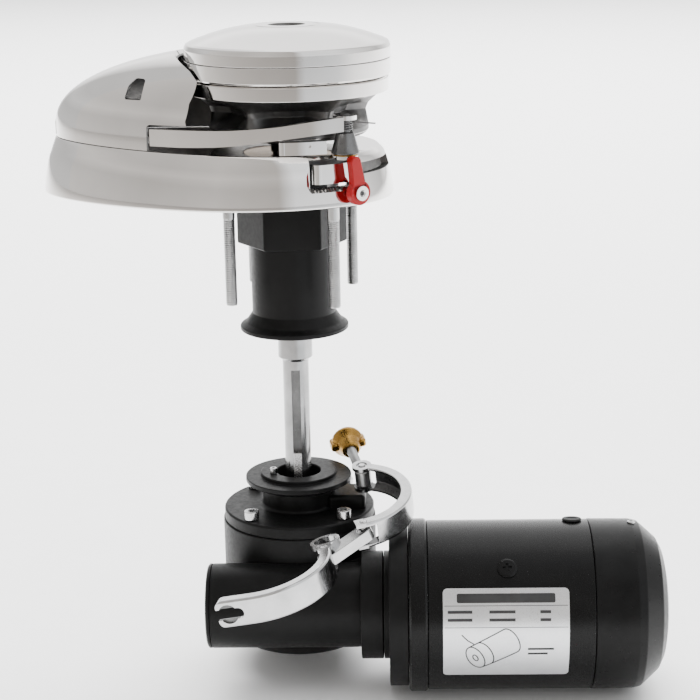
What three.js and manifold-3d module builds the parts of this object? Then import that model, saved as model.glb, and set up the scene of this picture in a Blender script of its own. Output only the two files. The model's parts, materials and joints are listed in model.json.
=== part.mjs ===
// Vertical anchor windlass with a separate gearbox and motor, in millimetres, +Z up.
// The origin is on the main shaft's axis, in the plane of the deck (the underside of the base).
// +X is the base's blunt end, the hood points along -X. The gearbox hangs below on the
// shaft, lowered out of its clamp, with the motor turned gearYaw degrees from +X.
import * as THREE from 'three';
import { mergeVertices } from 'three/addons/utils/BufferGeometryUtils.js';
import Module from 'manifold-3d';

const wasm = await Module();
wasm.setup();

// ---------------------------------------------------------------- driving dimensions
const gap = 0.3;                    // clearance between pieces that touch
const facet = 0.8;                  // and between round pieces with few facets

const eggCentreX = -35;             // widest station of the egg-shaped base
const eggFront = 137;               // from there to the pointed end
const eggBack = 104;                // from there to the blunt end
const eggHalfWidth = 75;
const frontPower = 1.65;            // outline exponents: below 2 is more pointed
const backPower = 2.1;
const baseRise = [[0, 0], [10, 1], [20, 3], [29, 6.2]];   // height, inset of the side wall
const rimInset = 10.5;              // inset of the base's upper edge
const rimHighZ = 38.3;              // upper edge at the pointed end
const rimSlope = 0.0258;            // and its fall towards the blunt end
const wall = 5;

const hoodTopX = -45;               // the hood is highest from here on
const hoodLength = 118;
const hoodHeight = 62;
const hoodNose = [1.5, 0.4];        // exponents of its fall towards the point
const hoodSection = 2.4;            // a rounded square has more, an ellipse has 2
const hoodWall = 4;

const leverAngle = -43;             // where the pawl lever stands on the base
const leverZ = 10;
const leverLean = 9;
const postPlace = [45.5, -44.5];    // the control arm's post, on a lug of the base
const lugR = 8.2;
const lugTop = 33;

const shaftR = 9;                   // keyed lower end
const journalR = 12.5;              // where the bearings sit
const shaftEndZ = -212;
const studR = 4;                    // M8
const studReach = 49.5;             // stud circle radius
const studLowZ = -70;
const tubeYaw = 10;

const hexR = 37.3;                  // deck tube: across the corners / 2
const hexYaw = 12;
const hexLowZ = -33.5;
const tubeR = 28.5;
const tubeBore = 23.8;
const flangeR = 37;                 // both halves of the clamped joint
const flangeZ = -93.4;

const capR = 68.1;
const gypsyR = 66.6;

const gearYaw = 8.4;
const ferruleZ = -199.6;            // top of the gearbox's flange, lowered
const wormY = -56;                  // worm and motor axis, beside the shaft
const wormZ = -275;
const motorR = 57;
const clampYaw = 10;                // the clamp lies draped over the gearbox

const degree = Math.PI / 180;

// ---------------------------------------------------------------- materials
const finishes = {
  chrome: [0xd9dadb, 0.08, 1],
  steel: [0xb4b6b8, 0.28, 1],
  castBlack: [0x1b1b1d, 0.55, 0.2],
  paintBlack: [0x151517, 0.35, 0.1],
  plasticBlack: [0x1a1a1a, 0.6, 0],
  redPlastic: [0xc5202a, 0.4, 0],
  brass: [0xb8873a, 0.3, 1],
  bronze: [0xa9773b, 0.4, 1],
  copper: [0xb06a43, 0.4, 1],
  rubber: [0x121212, 0.85, 0],
  magnet: [0x3a3b3e, 0.7, 0.1],
  plate: [0xc9cbcd, 0.35, 0.9],
};

function finish(name) {
  const [color, roughness, metalness] = finishes[name];
  return new THREE.MeshStandardMaterial({ color, roughness, metalness });
}

// ---------------------------------------------------------------- geometry helpers
function weld(geometry) {
  const bare = geometry.clone();
  bare.deleteAttribute('normal');
  bare.deleteAttribute('uv');
  const merged = mergeVertices(bare, 1e-3);
  const index = merged.index.array;
  const kept = [];
  for (let i = 0; i < index.length; i += 3) {
    const [a, b, c] = [index[i], index[i + 1], index[i + 2]];
    if (a !== b && b !== c && c !== a) kept.push(a, b, c);
  }
  merged.setIndex(kept);
  return merged;
}

function toSolid(geometry) {
  const welded = weld(geometry);
  const mesh = new wasm.Mesh({
    numProp: 3,
    vertProperties: new Float32Array(welded.attributes.position.array),
    triVerts: new Uint32Array(welded.index.array),
  });
  return new wasm.Manifold(mesh);
}

function toGeometry(solid) {
  const mesh = solid.getMesh();
  const geometry = new THREE.BufferGeometry();
  geometry.setAttribute('position', new THREE.BufferAttribute(mesh.vertProperties, 3));
  geometry.setIndex(new THREE.BufferAttribute(mesh.triVerts, 1));
  return geometry;
}

function join(...geometries) {
  return toGeometry(geometries.map(toSolid).reduce((sum, next) => sum.add(next)));
}

function cut(geometry, ...tools) {
  return toGeometry(tools.map(toSolid).reduce((rest, tool) => rest.subtract(tool), toSolid(geometry)));
}

function common(a, b) {
  return toGeometry(toSolid(a).intersect(toSolid(b)));
}

// A solid of revolution about Z from a counter-clockwise (radius, height) outline.
function turned(outline, segments = 32) {
  const points = outline.map(([r, z]) => new THREE.Vector2(r, z));
  const first = points[0];
  const last = points[points.length - 1];
  const onAxis = first.x === 0 && last.x === 0;
  if (!onAxis) points.push(first.clone());
  return weld(new THREE.LatheGeometry(points, segments).rotateX(90 * degree));
}

// The same about X: the outline is (radius, distance along X).
function turnedX(outline, segments = 32) {
  return turned(outline, segments).rotateY(90 * degree);
}

function ring(inner, outer, low, high, segments = 32) {
  return turned([[inner, low], [outer, low], [outer, high], [inner, high]], segments);
}

function disc(radius, low, high, segments = 32) {
  return turned([[0, low], [radius, low], [radius, high], [0, high]], segments);
}

function block(x0, x1, y0, y1, z0, z1) {
  const box = new THREE.BoxGeometry(x1 - x0, y1 - y0, z1 - z0);
  return box.translate((x0 + x1) / 2, (y0 + y1) / 2, (z0 + z1) / 2);
}

function polar(radius, angle) {
  return [radius * Math.cos(angle * degree), radius * Math.sin(angle * degree)];
}

// A wedge between two angles, used to take a sector out of a ring.
function sector(radius, from, to, low, high, steps = 8) {
  const shape = new THREE.Shape();
  shape.moveTo(0, 0);
  for (let i = 0; i <= steps; i++) shape.lineTo(...polar(radius, from + (to - from) * i / steps));
  const depth = high - low;
  return new THREE.ExtrudeGeometry(shape, { depth, bevelEnabled: false }).translate(0, 0, low);
}

// A closed body through rings of points; each end is closed by a fan about its middle.
function loft(rings) {
  const count = rings[0].length;
  const positions = rings.flat().flatMap((p) => [p.x, p.y, p.z]);
  const index = [];
  for (let r = 0; r + 1 < rings.length; r++) {
    for (let i = 0; i < count; i++) {
      const j = (i + 1) % count;
      const [a, b, c, d] = [r * count + i, r * count + j, (r + 1) * count + j, (r + 1) * count + i];
      index.push(a, b, c, a, c, d);
    }
  }
  const last = (rings.length - 1) * count;
  const ends = [[rings[0], 0, true], [rings[rings.length - 1], last, false]];
  for (const [points, start, flip] of ends) {
    const middle = points.reduce((sum, p) => sum.add(p), new THREE.Vector3()).divideScalar(count);
    const tip = positions.length / 3;
    positions.push(middle.x, middle.y, middle.z);
    for (let i = 0; i < count; i++) {
      const j = (i + 1) % count;
      if (flip) index.push(tip, start + j, start + i);
      else index.push(tip, start + i, start + j);
    }
  }
  const geometry = new THREE.BufferGeometry();
  geometry.setAttribute('position', new THREE.Float32BufferAttribute(positions, 3));
  geometry.setIndex(index);
  return geometry;
}

// A flat bar that follows a plan curve; its height band may change along the way.
function bar(stations, thickness) {
  const curve = new THREE.CatmullRomCurve3(stations.map(([x, y]) => new THREE.Vector3(x, y, 0)));
  const bands = new THREE.CatmullRomCurve3(stations.map(([, , low, high]) => new THREE.Vector3(low, high, 0)));
  const steps = 14;
  const rings = [];
  for (let i = 0; i <= steps; i++) {
    const at = curve.getPoint(i / steps);
    const along = curve.getTangent(i / steps);
    const band = bands.getPoint(i / steps);
    const side = new THREE.Vector3(-along.y, along.x, 0).multiplyScalar(thickness / 2);
    const corner = (sign, z) => new THREE.Vector3(at.x + sign * side.x, at.y + sign * side.y, z);
    rings.push([corner(1, band.x), corner(-1, band.x), corner(-1, band.y), corner(1, band.y)].reverse());
  }
  return loft(rings);
}

// ---------------------------------------------------------------- base and hood outlines
function eggPoint(turn, inset) {
  const c = Math.cos(turn);
  const s = Math.sin(turn);
  const [length, power] = c < 0 ? [eggFront, frontPower] : [eggBack, backPower];
  const scale = (Math.abs(c) ** power + Math.abs(s) ** power) ** (-1 / power);
  return [eggCentreX + (length - inset) * scale * c, (eggHalfWidth - inset) * scale * s];
}

function eggRing(inset, height, count = 36) {
  const points = [];
  for (let i = 0; i < count; i++) {
    const [x, y] = eggPoint(i / count * 2 * Math.PI, inset);
    const z = typeof height === 'function' ? height(x) : height;
    points.push(new THREE.Vector3(x, y, z));
  }
  return points;
}

const rimZ = (x) => rimHighZ - (x + 165) * rimSlope;

function eggHalfWidthAt(x, inset) {
  const [length, power] = x < eggCentreX ? [eggFront, frontPower] : [eggBack, backPower];
  const share = Math.abs((x - eggCentreX) / (length - inset)) ** power;
  return (eggHalfWidth - inset) * Math.max(0, 1 - share) ** (1 / power);
}

// One cross-section of the hood at x, from side to side over the top, closed underneath.
function hoodRing(x, offset) {
  const reach = Math.min(1, Math.max(0, (hoodTopX - x) / (hoodLength - offset)));
  const height = (hoodHeight - offset) * (1 - reach ** hoodNose[0]) ** hoodNose[1];
  const half = eggHalfWidthAt(x, rimInset + offset);
  const foot = rimZ(x) + gap - offset * 1.5;
  const power = 2 / hoodSection;
  const points = [];
  for (let i = 0; i <= 16; i++) {
    const turn = i / 16 * Math.PI;
    const rise = Math.max(0, Math.sin(turn)) ** power * height;
    const side = Math.sign(Math.cos(turn)) * Math.abs(Math.cos(turn)) ** power * half;
    points.push(new THREE.Vector3(x, side, rimZ(x) + gap + rise));
  }
  points.push(new THREE.Vector3(x, -half, foot - 0.01), new THREE.Vector3(x, half, foot - 0.01));
  return points;
}

// ---------------------------------------------------------------- deck unit
function baseCasting() {
  const outside = baseRise.map(([z, inset]) => eggRing(inset, z));
  outside.push(eggRing(rimInset, rimZ));
  const inside = [eggRing(wall, -1), eggRing(wall + 3, 20), eggRing(wall + 6, 27), eggRing(wall + 7.5, 28)];
  const shell = cut(loft(outside), loft(inside));
  const bosses = studPlaces().map(([x, y]) => disc(8, 2, 29, 12).translate(x, y, 0));
  const holes = studPlaces().map(([x, y]) => disc(studR + gap, -2, 22, 12).translate(x, y, 0));
  const shaftHole = disc(journalR + 3, 20, 60, 24);
  const chainHole = block(-116, -82, -24, 24, 20, 60);
  const lug = cut(disc(lugR, 31, lugTop, 16).translate(...postPlace, 0), disc(52, 10, 40, 24));
  const pocket = sector(100, -67, -31.5, 13, 31, 8);
  const channel = sector(100, -33, 6, 19.5, 26.5, 8);
  const slot = cut(join(pocket, channel), disc(52, 10, 40, 24));
  const leverHole = disc(3.2, -20, 20, 12).rotateY(90 * degree).translate(66, 0, leverZ);
  leverHole.rotateZ(leverAngle * degree);
  return cut(join(shell, lug, ...bosses), ...holes, shaftHole, chainHole, slot, leverHole);
}

function studPlaces() {
  return [45, 135, 225, 315].map((angle) => polar(studReach, angle));
}

function hood() {
  const stations = [-162.6, -161, -157, -150, -140, -125, -106, -86, -68, -52, -38, -26];
  const outside = loft(stations.map((x) => hoodRing(x, 0)));
  const inner = stations.filter((x) => x > -156);
  const inside = loft(inner.map((x) => hoodRing(x, hoodWall)));
  const mouth = turned([
    [0, 20], [82, 20], [82, 56], [78, 67], [69.6, 80], [69.6, 86], [73, 92.5], [77, 99], [77, 130], [0, 130],
  ], 48);
  const notch = block(-82.3, -30, -90, -40, 20, 53.2);
  const window = block(-102, -90, -90, -20, 66, 78);
  return cut(outside, inside, mouth, notch, window);
}

function deckTube() {
  const hexagon = disc(hexR, hexLowZ, -gap, 6).rotateZ(hexYaw * degree);
  const body = turned([
    [tubeR, flangeZ + 12], [tubeR, hexLowZ - 1], [tubeR, hexLowZ + 1], [31, hexLowZ + 1], [31, 27.5],
    [tubeBore, 27.5], [tubeBore, flangeZ + 4], [26.8, flangeZ + 4], [26.8, flangeZ], [flangeR, flangeZ],
    [flangeR, flangeZ + 3], [33, flangeZ + 5.5],
  ], 24);
  return cut(join(hexagon, body), disc(tubeBore, -60, 30, 24));
}

function stud() {
  const outline = [[0, studLowZ], [studR - 1, studLowZ], [studR, studLowZ + 1], [studR, 21], [0, 21]];
  return turned(outline, 14);
}

function ballBearing(innerR, outerR, low, high) {
  const middle = (innerR + outerR) / 2;
  const land = 2.4;
  const outline = [
    [innerR, low], [outerR, low], [outerR, high], [middle + land, high],
    [middle + land, high - 0.8], [middle - land, high - 0.8], [middle - land, high], [innerR, high],
  ];
  return turned(outline, 14);
}

function lipSeal(innerR, outerR, low, high) {
  const outline = [
    [innerR + 3, low], [outerR, low], [outerR, high], [innerR + 1.5, high], [innerR, high - 2],
    [innerR + 1.5, high - 4],
  ];
  return turned(outline, 16);
}

// ---------------------------------------------------------------- shaft, clutch and cap
function mainShaft() {
  const outline = [
    [0, shaftEndZ], [shaftR - 1, shaftEndZ], [shaftR, shaftEndZ + 1], [shaftR, -116],
    [11.8, -113.5], [11.8, -92], [journalR, -91], [journalR, 40], [11, 40], [11, 92], [10, 93], [0, 93],
  ];
  const keyway = block(-3, 3, -20, -shaftR + 3, shaftEndZ - 1, -122).rotateZ(tubeYaw * degree);
  return cut(turned(outline, 20), keyway);
}

function driveKey() {
  const low = shaftEndZ + 1;
  return block(-2.8, 2.8, -shaftR - 2.4, -shaftR + 3 - gap, low, low + 30).rotateZ(tubeYaw * degree);
}

function clutchCone(low, high, lowR, highR) {
  return turned([[11.3, low], [lowR, low], [highR, high], [11.3, high]], 18);
}

function circlip() {
  return cut(ring(journalR + gap, 16, -89.2, -87.7, 24), block(12, 20, -3, 3, -95, -80));
}

function gypsy() {
  const body = turned([
    [31.5, 41], [51, 41], [53, 43], [53, 46.5], [38, 56], [40, 60], [62, 68], [gypsyR, 69.1],
    [gypsyR, 77.6], [65.6, 78.4], [31.5, 78.4], [25, 60.5], [25, 57.5],
  ], 28);
  const ribs = [];
  const ribCount = 6;
  for (let i = 0; i < ribCount; i++) {
    const angle = 360 / ribCount * i + 12;
    ribs.push(block(36, 60, -4.5, 4.5, 59, 70).rotateZ(angle * degree));
    ribs.push(block(34, 50, -4.5, 4.5, 44, 55).rotateZ(angle * degree));
  }
  return join(body, ...ribs);
}

function clutchNut() {
  return turned([
    [11.3, 79.2], [66.8, 79.2], [capR, 80.4], [capR, 90.3], [15, 90.3], [15, 92.5], [11.3, 92.5],
  ], 32);
}

function capCover() {
  const crown = [[64.5, 102], [50, 107.2], [34, 110.4], [20, 112]];
  const socket = [[10.4, 112], [10.4, 93.2], [15.6, 93.2]];
  return turned([[15.6, 90.7], [capR, 90.7], [capR, 97.6], [67.1, 100.2], ...crown, ...socket], 32);
}

// ---------------------------------------------------------------- pawl and control arm

function pawlSlider() {
  const body = cut(sector(64, -61, -38, 15.5, 28, 8), disc(56, 10, 40, 32));
  const nose = disc(4.2, 15.5, 28, 12).translate(...polar(60, -61), 0);
  return join(body, nose);
}

// Both stand on the base's side wall; local Z points outwards along the pivot.
function onBaseSide(geometry) {
  return geometry.rotateY(90 * degree).translate(0, 0, leverZ).rotateZ(leverAngle * degree);
}

function pawlLever() {
  const shape = new THREE.Shape();
  const eye = 8;
  shape.absarc(0, 0, eye, 125 * degree, 415 * degree, false);
  shape.lineTo(4, 19);
  shape.absarc(0, 20, 4, 0, 180 * degree, false);
  const hole = new THREE.Path().absarc(0, 0, 2.4, 0, 360 * degree, true);
  shape.holes.push(hole);
  const options = { depth: 5.5, bevelEnabled: false, curveSegments: 10 };
  const lever = new THREE.ExtrudeGeometry(shape, options).rotateZ((90 + leverLean) * degree);
  return onBaseSide(lever.translate(0, 0, 72));
}

function leverScrew() {
  const outline = [[0, 58], [2, 58], [2, 78], [4.8, 78], [4.8, 79.4], [2, 79.4], [2, 78.7], [0, 78.7]];
  return onBaseSide(turned(outline, 16));
}

function pawlPlate() {
  const body = cut(sector(65, -82, -57, 35.2, 43.4, 6), disc(59, 20, 60, 24));
  const nose = disc(3, 35.2, 43.4, 12).translate(...polar(62, -82), 0);
  return join(body, nose);
}

function armPost() {
  const outline = [[0, 34.2], [9.2, 34.2], [9, 35.4], [5.8, 47.6], [3, 47.6], [3, 59.5], [0, 59.5]];
  return turned(outline, 20).translate(...postPlace, 0);
}

function armWasher() {
  return ring(3.4, lugR, 33.3, 33.9, 20).translate(...postPlace, 0);
}

function armSpring() {
  const turns = 4;
  const pitch = 1.5;
  const points = [];
  for (let i = 0; i <= turns * 8; i++) {
    const [x, y] = polar(4.6, i * 45);
    points.push(new THREE.Vector3(postPlace[0] + x, postPlace[1] + y, 48.4 + i / 8 * pitch));
  }
  points.push(new THREE.Vector3(postPlace[0] + 20, postPlace[1] - 1, 53.6));
  const wire = new THREE.Shape().absarc(0, 0, 0.5, 0, 360 * degree);
  const extrudePath = new THREE.CatmullRomCurve3(points);
  return new THREE.ExtrudeGeometry(wire, { steps: 44, curveSegments: 2, extrudePath, bevelEnabled: false });
}

function controlArm() {
  const blade = bar([
    [-79, -55.5, 39.8, 50.6], [-52, -62.6, 40, 51], [-24, -66, 41.5, 51.5], [4, -65, 45, 53.5],
    [26, -60.2, 47.5, 56.4], [46, -53.4, 49.6, 58.6],
  ], 5.5);
  const eye = disc(7.6, 55.9, 58.6, 20).translate(...postPlace, 0);
  const bore = disc(3.4, 40, 60, 20).translate(...postPlace, 0);
  return cut(join(blade, eye), bore);
}

// ---------------------------------------------------------------- gearbox
function gearboxCover() {
  const body = turned([
    [15.5, -229], [52.5, -229], [52.5, -222], [51.5, -221], [25.4, -221], [25.4, -206], [33, -205],
    [flangeR, -202.8], [flangeR, ferruleZ], [26.4, ferruleZ], [26.4, -197], [15.5, -197],
  ], 24);
  const hub = ring(30, 36, -247, -228, 20);
  const rib = block(20, 41, -12, 12, -228, -212);
  const bore = disc(15.5, -260, -190, 24);
  return cut(join(body, cut(hub, disc(30, -260, -229, 20)), rib), bore, ...screwHoles());
}

function screwAngles() {
  return [-133, -45, 45, 137];
}

function screwHoles() {
  return screwAngles().map((a) => disc(3 + gap, -250, -200, 8).translate(...polar(45.6, a), 0));
}

function coverScrew() {
  const outline = [[0, -238], [3, -238], [3, -220.7], [5, -220.7], [5, -214.8], [2.5, -214.8], [2.5, -218], [0, -218]];
  return turned(outline, 10);
}

function gearboxHousing() {
  const drum = turned([
    [0, -324], [30, -324], [47, -316], [53.5, -308], [53.5, -229.3], [0, -229.3],
  ], 24);
  const along = (outline, segments = 20) => turnedX(outline, segments).translate(0, wormY, wormZ);
  const wormTube = along([[0, -57.5], [28.7, -57.5], [28.7, 59], [0, 59]]);
  const wormFlange = along([[0, 44], [36.5, 44], [36.5, 59], [0, 59]]);
  const saddle = block(-28, 45, -45, -10, -300, -250);
  const cavity = disc(48, -309, -220, 24);
  const floorPocket = disc(31, -319, -300, 24);
  const wormBore = along([[0, -70], [22, -70], [22, 70], [0, 70]], 24);
  const wormWay = block(-36, 36, -60, -20, -292, -258);
  return cut(join(drum, wormTube, wormFlange, saddle), cavity, floorPocket, wormBore, wormWay, ...screwHoles());
}

function wormEndCover() {
  return turnedX([[0, -60.5], [27.5, -60.5], [28.7, -59.5], [28.7, -57.8], [0, -57.8]], 20);
}

// A screw-threaded cylinder along X: the surface rises where its phase meets the tooth.
function wormShaft() {
  const around = 8;
  const along = 24;
  const pitch = 9;
  const threadEnd = 32;
  const rings = [];
  const addPlain = (x, r) => rings.push(circleX(x, () => r, around));
  addPlain(-54, 8);
  addPlain(-threadEnd - 4, 8);
  for (let i = 0; i <= along; i++) {
    const x = -threadEnd + 2 * threadEnd * i / along;
    const fade = Math.min(1, (threadEnd - Math.abs(x)) / 4);
    rings.push(circleX(x, (turn) => {
      const phase = x / pitch - turn / (2 * Math.PI);
      return 8 + fade * 4 * Math.min(1, Math.max(0, 0.5 + 0.9 * Math.cos(phase * 2 * Math.PI)));
    }, around));
  }
  addPlain(threadEnd + 4, 8);
  addPlain(56, 8);
  return loft(rings);
}

function circleX(x, radiusAt, count) {
  const points = [];
  for (let i = 0; i < count; i++) {
    const turn = i / count * 2 * Math.PI;
    const r = radiusAt(turn);
    points.push(new THREE.Vector3(x, r * Math.cos(turn), r * Math.sin(turn)));
  }
  return points;
}

function wormWheel() {
  const teeth = 30;
  const shape = new THREE.Shape();
  const [rootR, tipR] = [39, 43.2];
  for (let i = 0; i < teeth; i++) {
    const at = (share, r) => polar(r, 360 / teeth * (i + share));
    if (i === 0) shape.moveTo(...at(0, rootR));
    else shape.lineTo(...at(0, rootR));
    shape.lineTo(...at(0.25, tipR));
    shape.lineTo(...at(0.5, tipR));
    shape.lineTo(...at(0.75, rootR));
  }
  const rim = new THREE.ExtrudeGeometry(shape, { depth: 24, bevelEnabled: false }).translate(0, 0, -287);
  const sleeve = disc(17, -315, -238, 20);
  const keyway = block(-3.3, 3.3, -12.3, 0, -330, -230).rotateZ((tubeYaw - gearYaw) * degree);
  const bore = disc(shaftR + gap, -330, -230, 24);
  return cut(join(rim, sleeve), bore, keyway);
}

// ---------------------------------------------------------------- motor (local: axis on X)
function motorAdapter() {
  return turnedX([
    [17, 59.3], [36.5, 59.3], [36.5, 63], [54.5, 63], [54.5, 75.7], [48, 75.7], [48, 69], [17, 69],
  ], 24);
}

function motorBell() {
  return turnedX([
    [12, 76], [56.8, 76], [58.3, 77.5], [58.3, 86.7], [57.3, 88.2], [53, 88.2], [53, 81], [12, 81],
  ], 24);
}

function motorCan() {
  return turnedX([[53, 88.5], [motorR, 88.5], [motorR, 197.5], [53, 197.5]], 36);
}

function motorEndCap() {
  return turnedX([
    [0, 244.5], [34, 242.5], [42, 238], [50.5, 229], [53, 222], [53, 197.8], [57.3, 197.8], [57, 226],
    [55.8, 231], [45, 243], [38, 246.5], [30, 248.3], [0, 249],
  ], 24);
}

function fieldMagnet(from, to) {
  const shell = ring(45, 52.6, 100, 180, 36);
  return common(shell, sector(60, from, to, 99, 181, 8)).rotateY(90 * degree);
}

function armature() {
  const outline = [
    [0, 60.5], [6, 60.5], [6, 92], [14, 92], [20, 98], [41, 98], [43.5, 102], [43.5, 176], [41, 182],
    [20, 182], [14, 183], [6, 183], [6, 240], [0, 240],
  ];
  const slots = [];
  const slotCount = 8;
  for (let i = 0; i < slotCount; i++) {
    slots.push(block(100, 178, -1.4, 1.4, 39, 46).rotateX(360 / slotCount * i * degree));
  }
  return cut(turnedX(outline, 16), ...slots);
}

function commutator() {
  return turnedX([[6.3, 184], [22, 184], [22, 187], [19, 187], [19, 204], [6.3, 204]], 16);
}

function brushHolder() {
  return turnedX([[23, 190], [51, 190], [51, 196], [23, 196]], 24);
}

function nameplate() {
  const shell = ring(motorR + gap, motorR + 0.9, 98, 180, 60);
  return common(shell, sector(80, -123.2, -60.3, 90, 190, 12)).rotateY(90 * degree);
}

function poleScrew() {
  return disc(6.2, motorR + gap, motorR + 2, 16);
}

function cableGrommet() {
  return disc(6.5, motorR + gap, motorR + 2.3, 18);
}

// ---------------------------------------------------------------- band clamp
// Each jaw is a half band with a V channel inside; its local Z is the axis of its arc.
const bandR = 43;
const bandHalf = 9.25;
const lipR = 35.5;
const pinR = 39.3;                  // distance of the hinge pins from the arc's axis
const rightSpan = 76;               // the right jaw runs from -76 to +76 degrees
const leftSpan = 118;               // the left one from 0 to -118, then straight on
const leftTail = 24;

const bandOutline = [
  [lipR, -bandHalf], [bandR, -bandHalf], [bandR, bandHalf], [lipR, bandHalf], [lipR, bandHalf - 2],
  [bandR - 2.6, bandHalf - 5.5], [bandR - 2.6, 5.5 - bandHalf], [lipR, 2 - bandHalf],
];

function bandArc(from, to) {
  const reach = sector(70, from, to, -20, 20, 8);
  return common(turned(bandOutline, 30), reach);
}

function pinHoles(...angles) {
  return angles.map((angle) => disc(2.5, -20, 20, 10).translate(...polar(pinR, angle), 0));
}

function forkGaps(...angles) {
  return angles.map((angle) => disc(9, -6.9, 6.9, 14).translate(...polar(pinR, angle), 0));
}

function eyes(...angles) {
  return angles.map((angle) => disc(5.5, -bandHalf, bandHalf, 14).translate(...polar(pinR, angle), 0));
}

function rightJaw() {
  const ends = [-rightSpan, rightSpan];
  return cut(join(bandArc(...ends), ...eyes(...ends)), ...forkGaps(...ends), ...pinHoles(...ends));
}

function leftJaw() {
  const section = new THREE.Shape(bandOutline.map(([r, z]) => new THREE.Vector2(r, z)));
  const tail = new THREE.ExtrudeGeometry(section, { depth: leftTail, bevelEnabled: false });
  tail.applyMatrix4(new THREE.Matrix4().makeBasis(
    new THREE.Vector3(1, 0, 0), new THREE.Vector3(0, 0, 1), new THREE.Vector3(0, -1, 0),
  ));
  tail.rotateZ(-leftSpan * degree);
  const slit = block(20, 60, -leftTail - 5, -9, -4.2, 4.2).rotateZ(-leftSpan * degree);
  const body = join(bandArc(-leftSpan, 0), tail, ...eyes(0));
  return cut(body, ...forkGaps(0), ...pinHoles(0), slit);
}

function clampPin() {
  return turned([[0, -9.6], [2.2, -9.6], [2.2, 9.6], [0, 9.6]], 12);
}

function clampLink(from, to) {
  const along = to.clone().sub(from);
  const length = along.length();
  const body = join(disc(5.4, -4, 4, 16), disc(5.4, -4, 4, 16).translate(length, 0, 0),
    block(0, length, -4.6, 4.6, -4, 4));
  const holes = [0, length].map((x) => disc(3.9, -20, 20, 12).translate(x, 0, 0));
  return cut(body, ...holes);
}

function swingBolt() {
  const eye = disc(5.6, -5.8, 5.8, 16);
  const shank = disc(3.4, 4, 58, 12).rotateY(90 * degree);
  return cut(join(eye, shank), disc(2.5, -20, 20, 10));
}

function wingNut() {
  const hub = turnedX([[3.7, -8], [6, -8], [8.5, 2], [10.4, 6], [10.4, 8], [3.7, 8]], 20);
  const wing = (side) => block(-1, 11, -3, 3, 7, 12.8).rotateX(side * 90 * degree);
  return cut(join(hub, wing(1), wing(-1)), disc(3.7, -30, 30, 12).rotateY(90 * degree));
}

// Axes of a frame from its normal and the direction of its local X.
function frameOf(origin, normal, towards) {
  const z = normal.clone().normalize();
  const x = towards.clone().addScaledVector(z, -towards.dot(z)).normalize();
  const y = z.clone().cross(x);
  return new THREE.Matrix4().makeBasis(x, y, z).setPosition(origin);
}

const vec = (x, y, z) => new THREE.Vector3(x, y, z);
const rightFrame = frameOf(vec(35.6, -48.9, -206.4), vec(-0.091, -0.174, 0.981), vec(1, 0, 0));
const leftFrame = frameOf(vec(-16.7, -107.8, -234.5), vec(-0.247, -0.026, 0.969), vec(0.942, 0.23, 0.246));
const pinAt = (frame, angle) => vec(...polar(pinR, angle), 0).applyMatrix4(frame);
const axisOf = (frame) => vec(0, 0, 1).transformDirection(frame);

function place(mesh, frame) {
  frame.decompose(mesh.position, mesh.quaternion, mesh.scale);
}

// ---------------------------------------------------------------- assembly
const group = new THREE.Group();
const gearUnit = new THREE.Group();
gearUnit.rotation.z = gearYaw * degree;
group.add(gearUnit);
const motorUnit = new THREE.Group();
motorUnit.position.set(0, wormY, wormZ);
gearUnit.add(motorUnit);

function add(name, geometry, finishName, parent = group) {
  const mesh = new THREE.Mesh(geometry, finish(finishName));
  mesh.name = name;
  parent.add(mesh);
  return mesh;
}

add('base_casting', baseCasting(), 'chrome');
add('hood', hood(), 'chrome');
add('deck_tube', deckTube(), 'castBlack');
studPlaces().forEach(([x, y], i) => add(`stud_${i + 1}`, stud(), 'steel').position.set(x, y, 0));
add('upper_bearing', ballBearing(journalR + facet, tubeBore - facet, 4, 16), 'steel');
add('lower_bearing', ballBearing(journalR + facet, tubeBore - facet, -86.5, -74.5), 'steel');
add('shaft_seal', lipSeal(journalR + facet, tubeBore - facet, 18, 26), 'rubber');
add('arm_post', armPost(), 'steel');
add('arm_washer', armWasher(), 'brass');
add('arm_spring', armSpring(), 'steel');
add('pawl_plate', pawlPlate(), 'chrome');

add('main_shaft', mainShaft(), 'steel');
add('drive_key', driveKey(), 'steel');
add('lower_clutch_cone', clutchCone(41.5, 55.5, 30.6, 25), 'bronze');
add('upper_clutch_cone', clutchCone(62.5, 77.8, 25, 30.5), 'bronze');
add('shaft_circlip', circlip(), 'steel');
add('gypsy', gypsy(), 'chrome');
add('clutch_nut', clutchNut(), 'chrome');
add('cap_cover', capCover(), 'chrome');

add('pawl_slider', pawlSlider(), 'chrome');
add('pawl_lever', pawlLever(), 'redPlastic');
add('lever_screw', leverScrew(), 'steel');
add('control_arm', controlArm(), 'chrome');

add('gearbox_cover', gearboxCover(), 'castBlack', gearUnit);
add('gearbox_housing', gearboxHousing(), 'castBlack', gearUnit);
screwAngles().forEach((angle, i) => {
  add(`cover_screw_${i + 1}`, coverScrew(), 'steel', gearUnit).position.set(...polar(45.6, angle), 0);
});
add('wheel_top_bearing', ballBearing(17 + facet, 30 - facet, -247, -238), 'steel', gearUnit);
add('wheel_bottom_bearing', ballBearing(17 + facet, 31 - facet, -318, -309), 'steel', gearUnit);
add('worm_wheel', wormWheel(), 'bronze', gearUnit);

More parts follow.
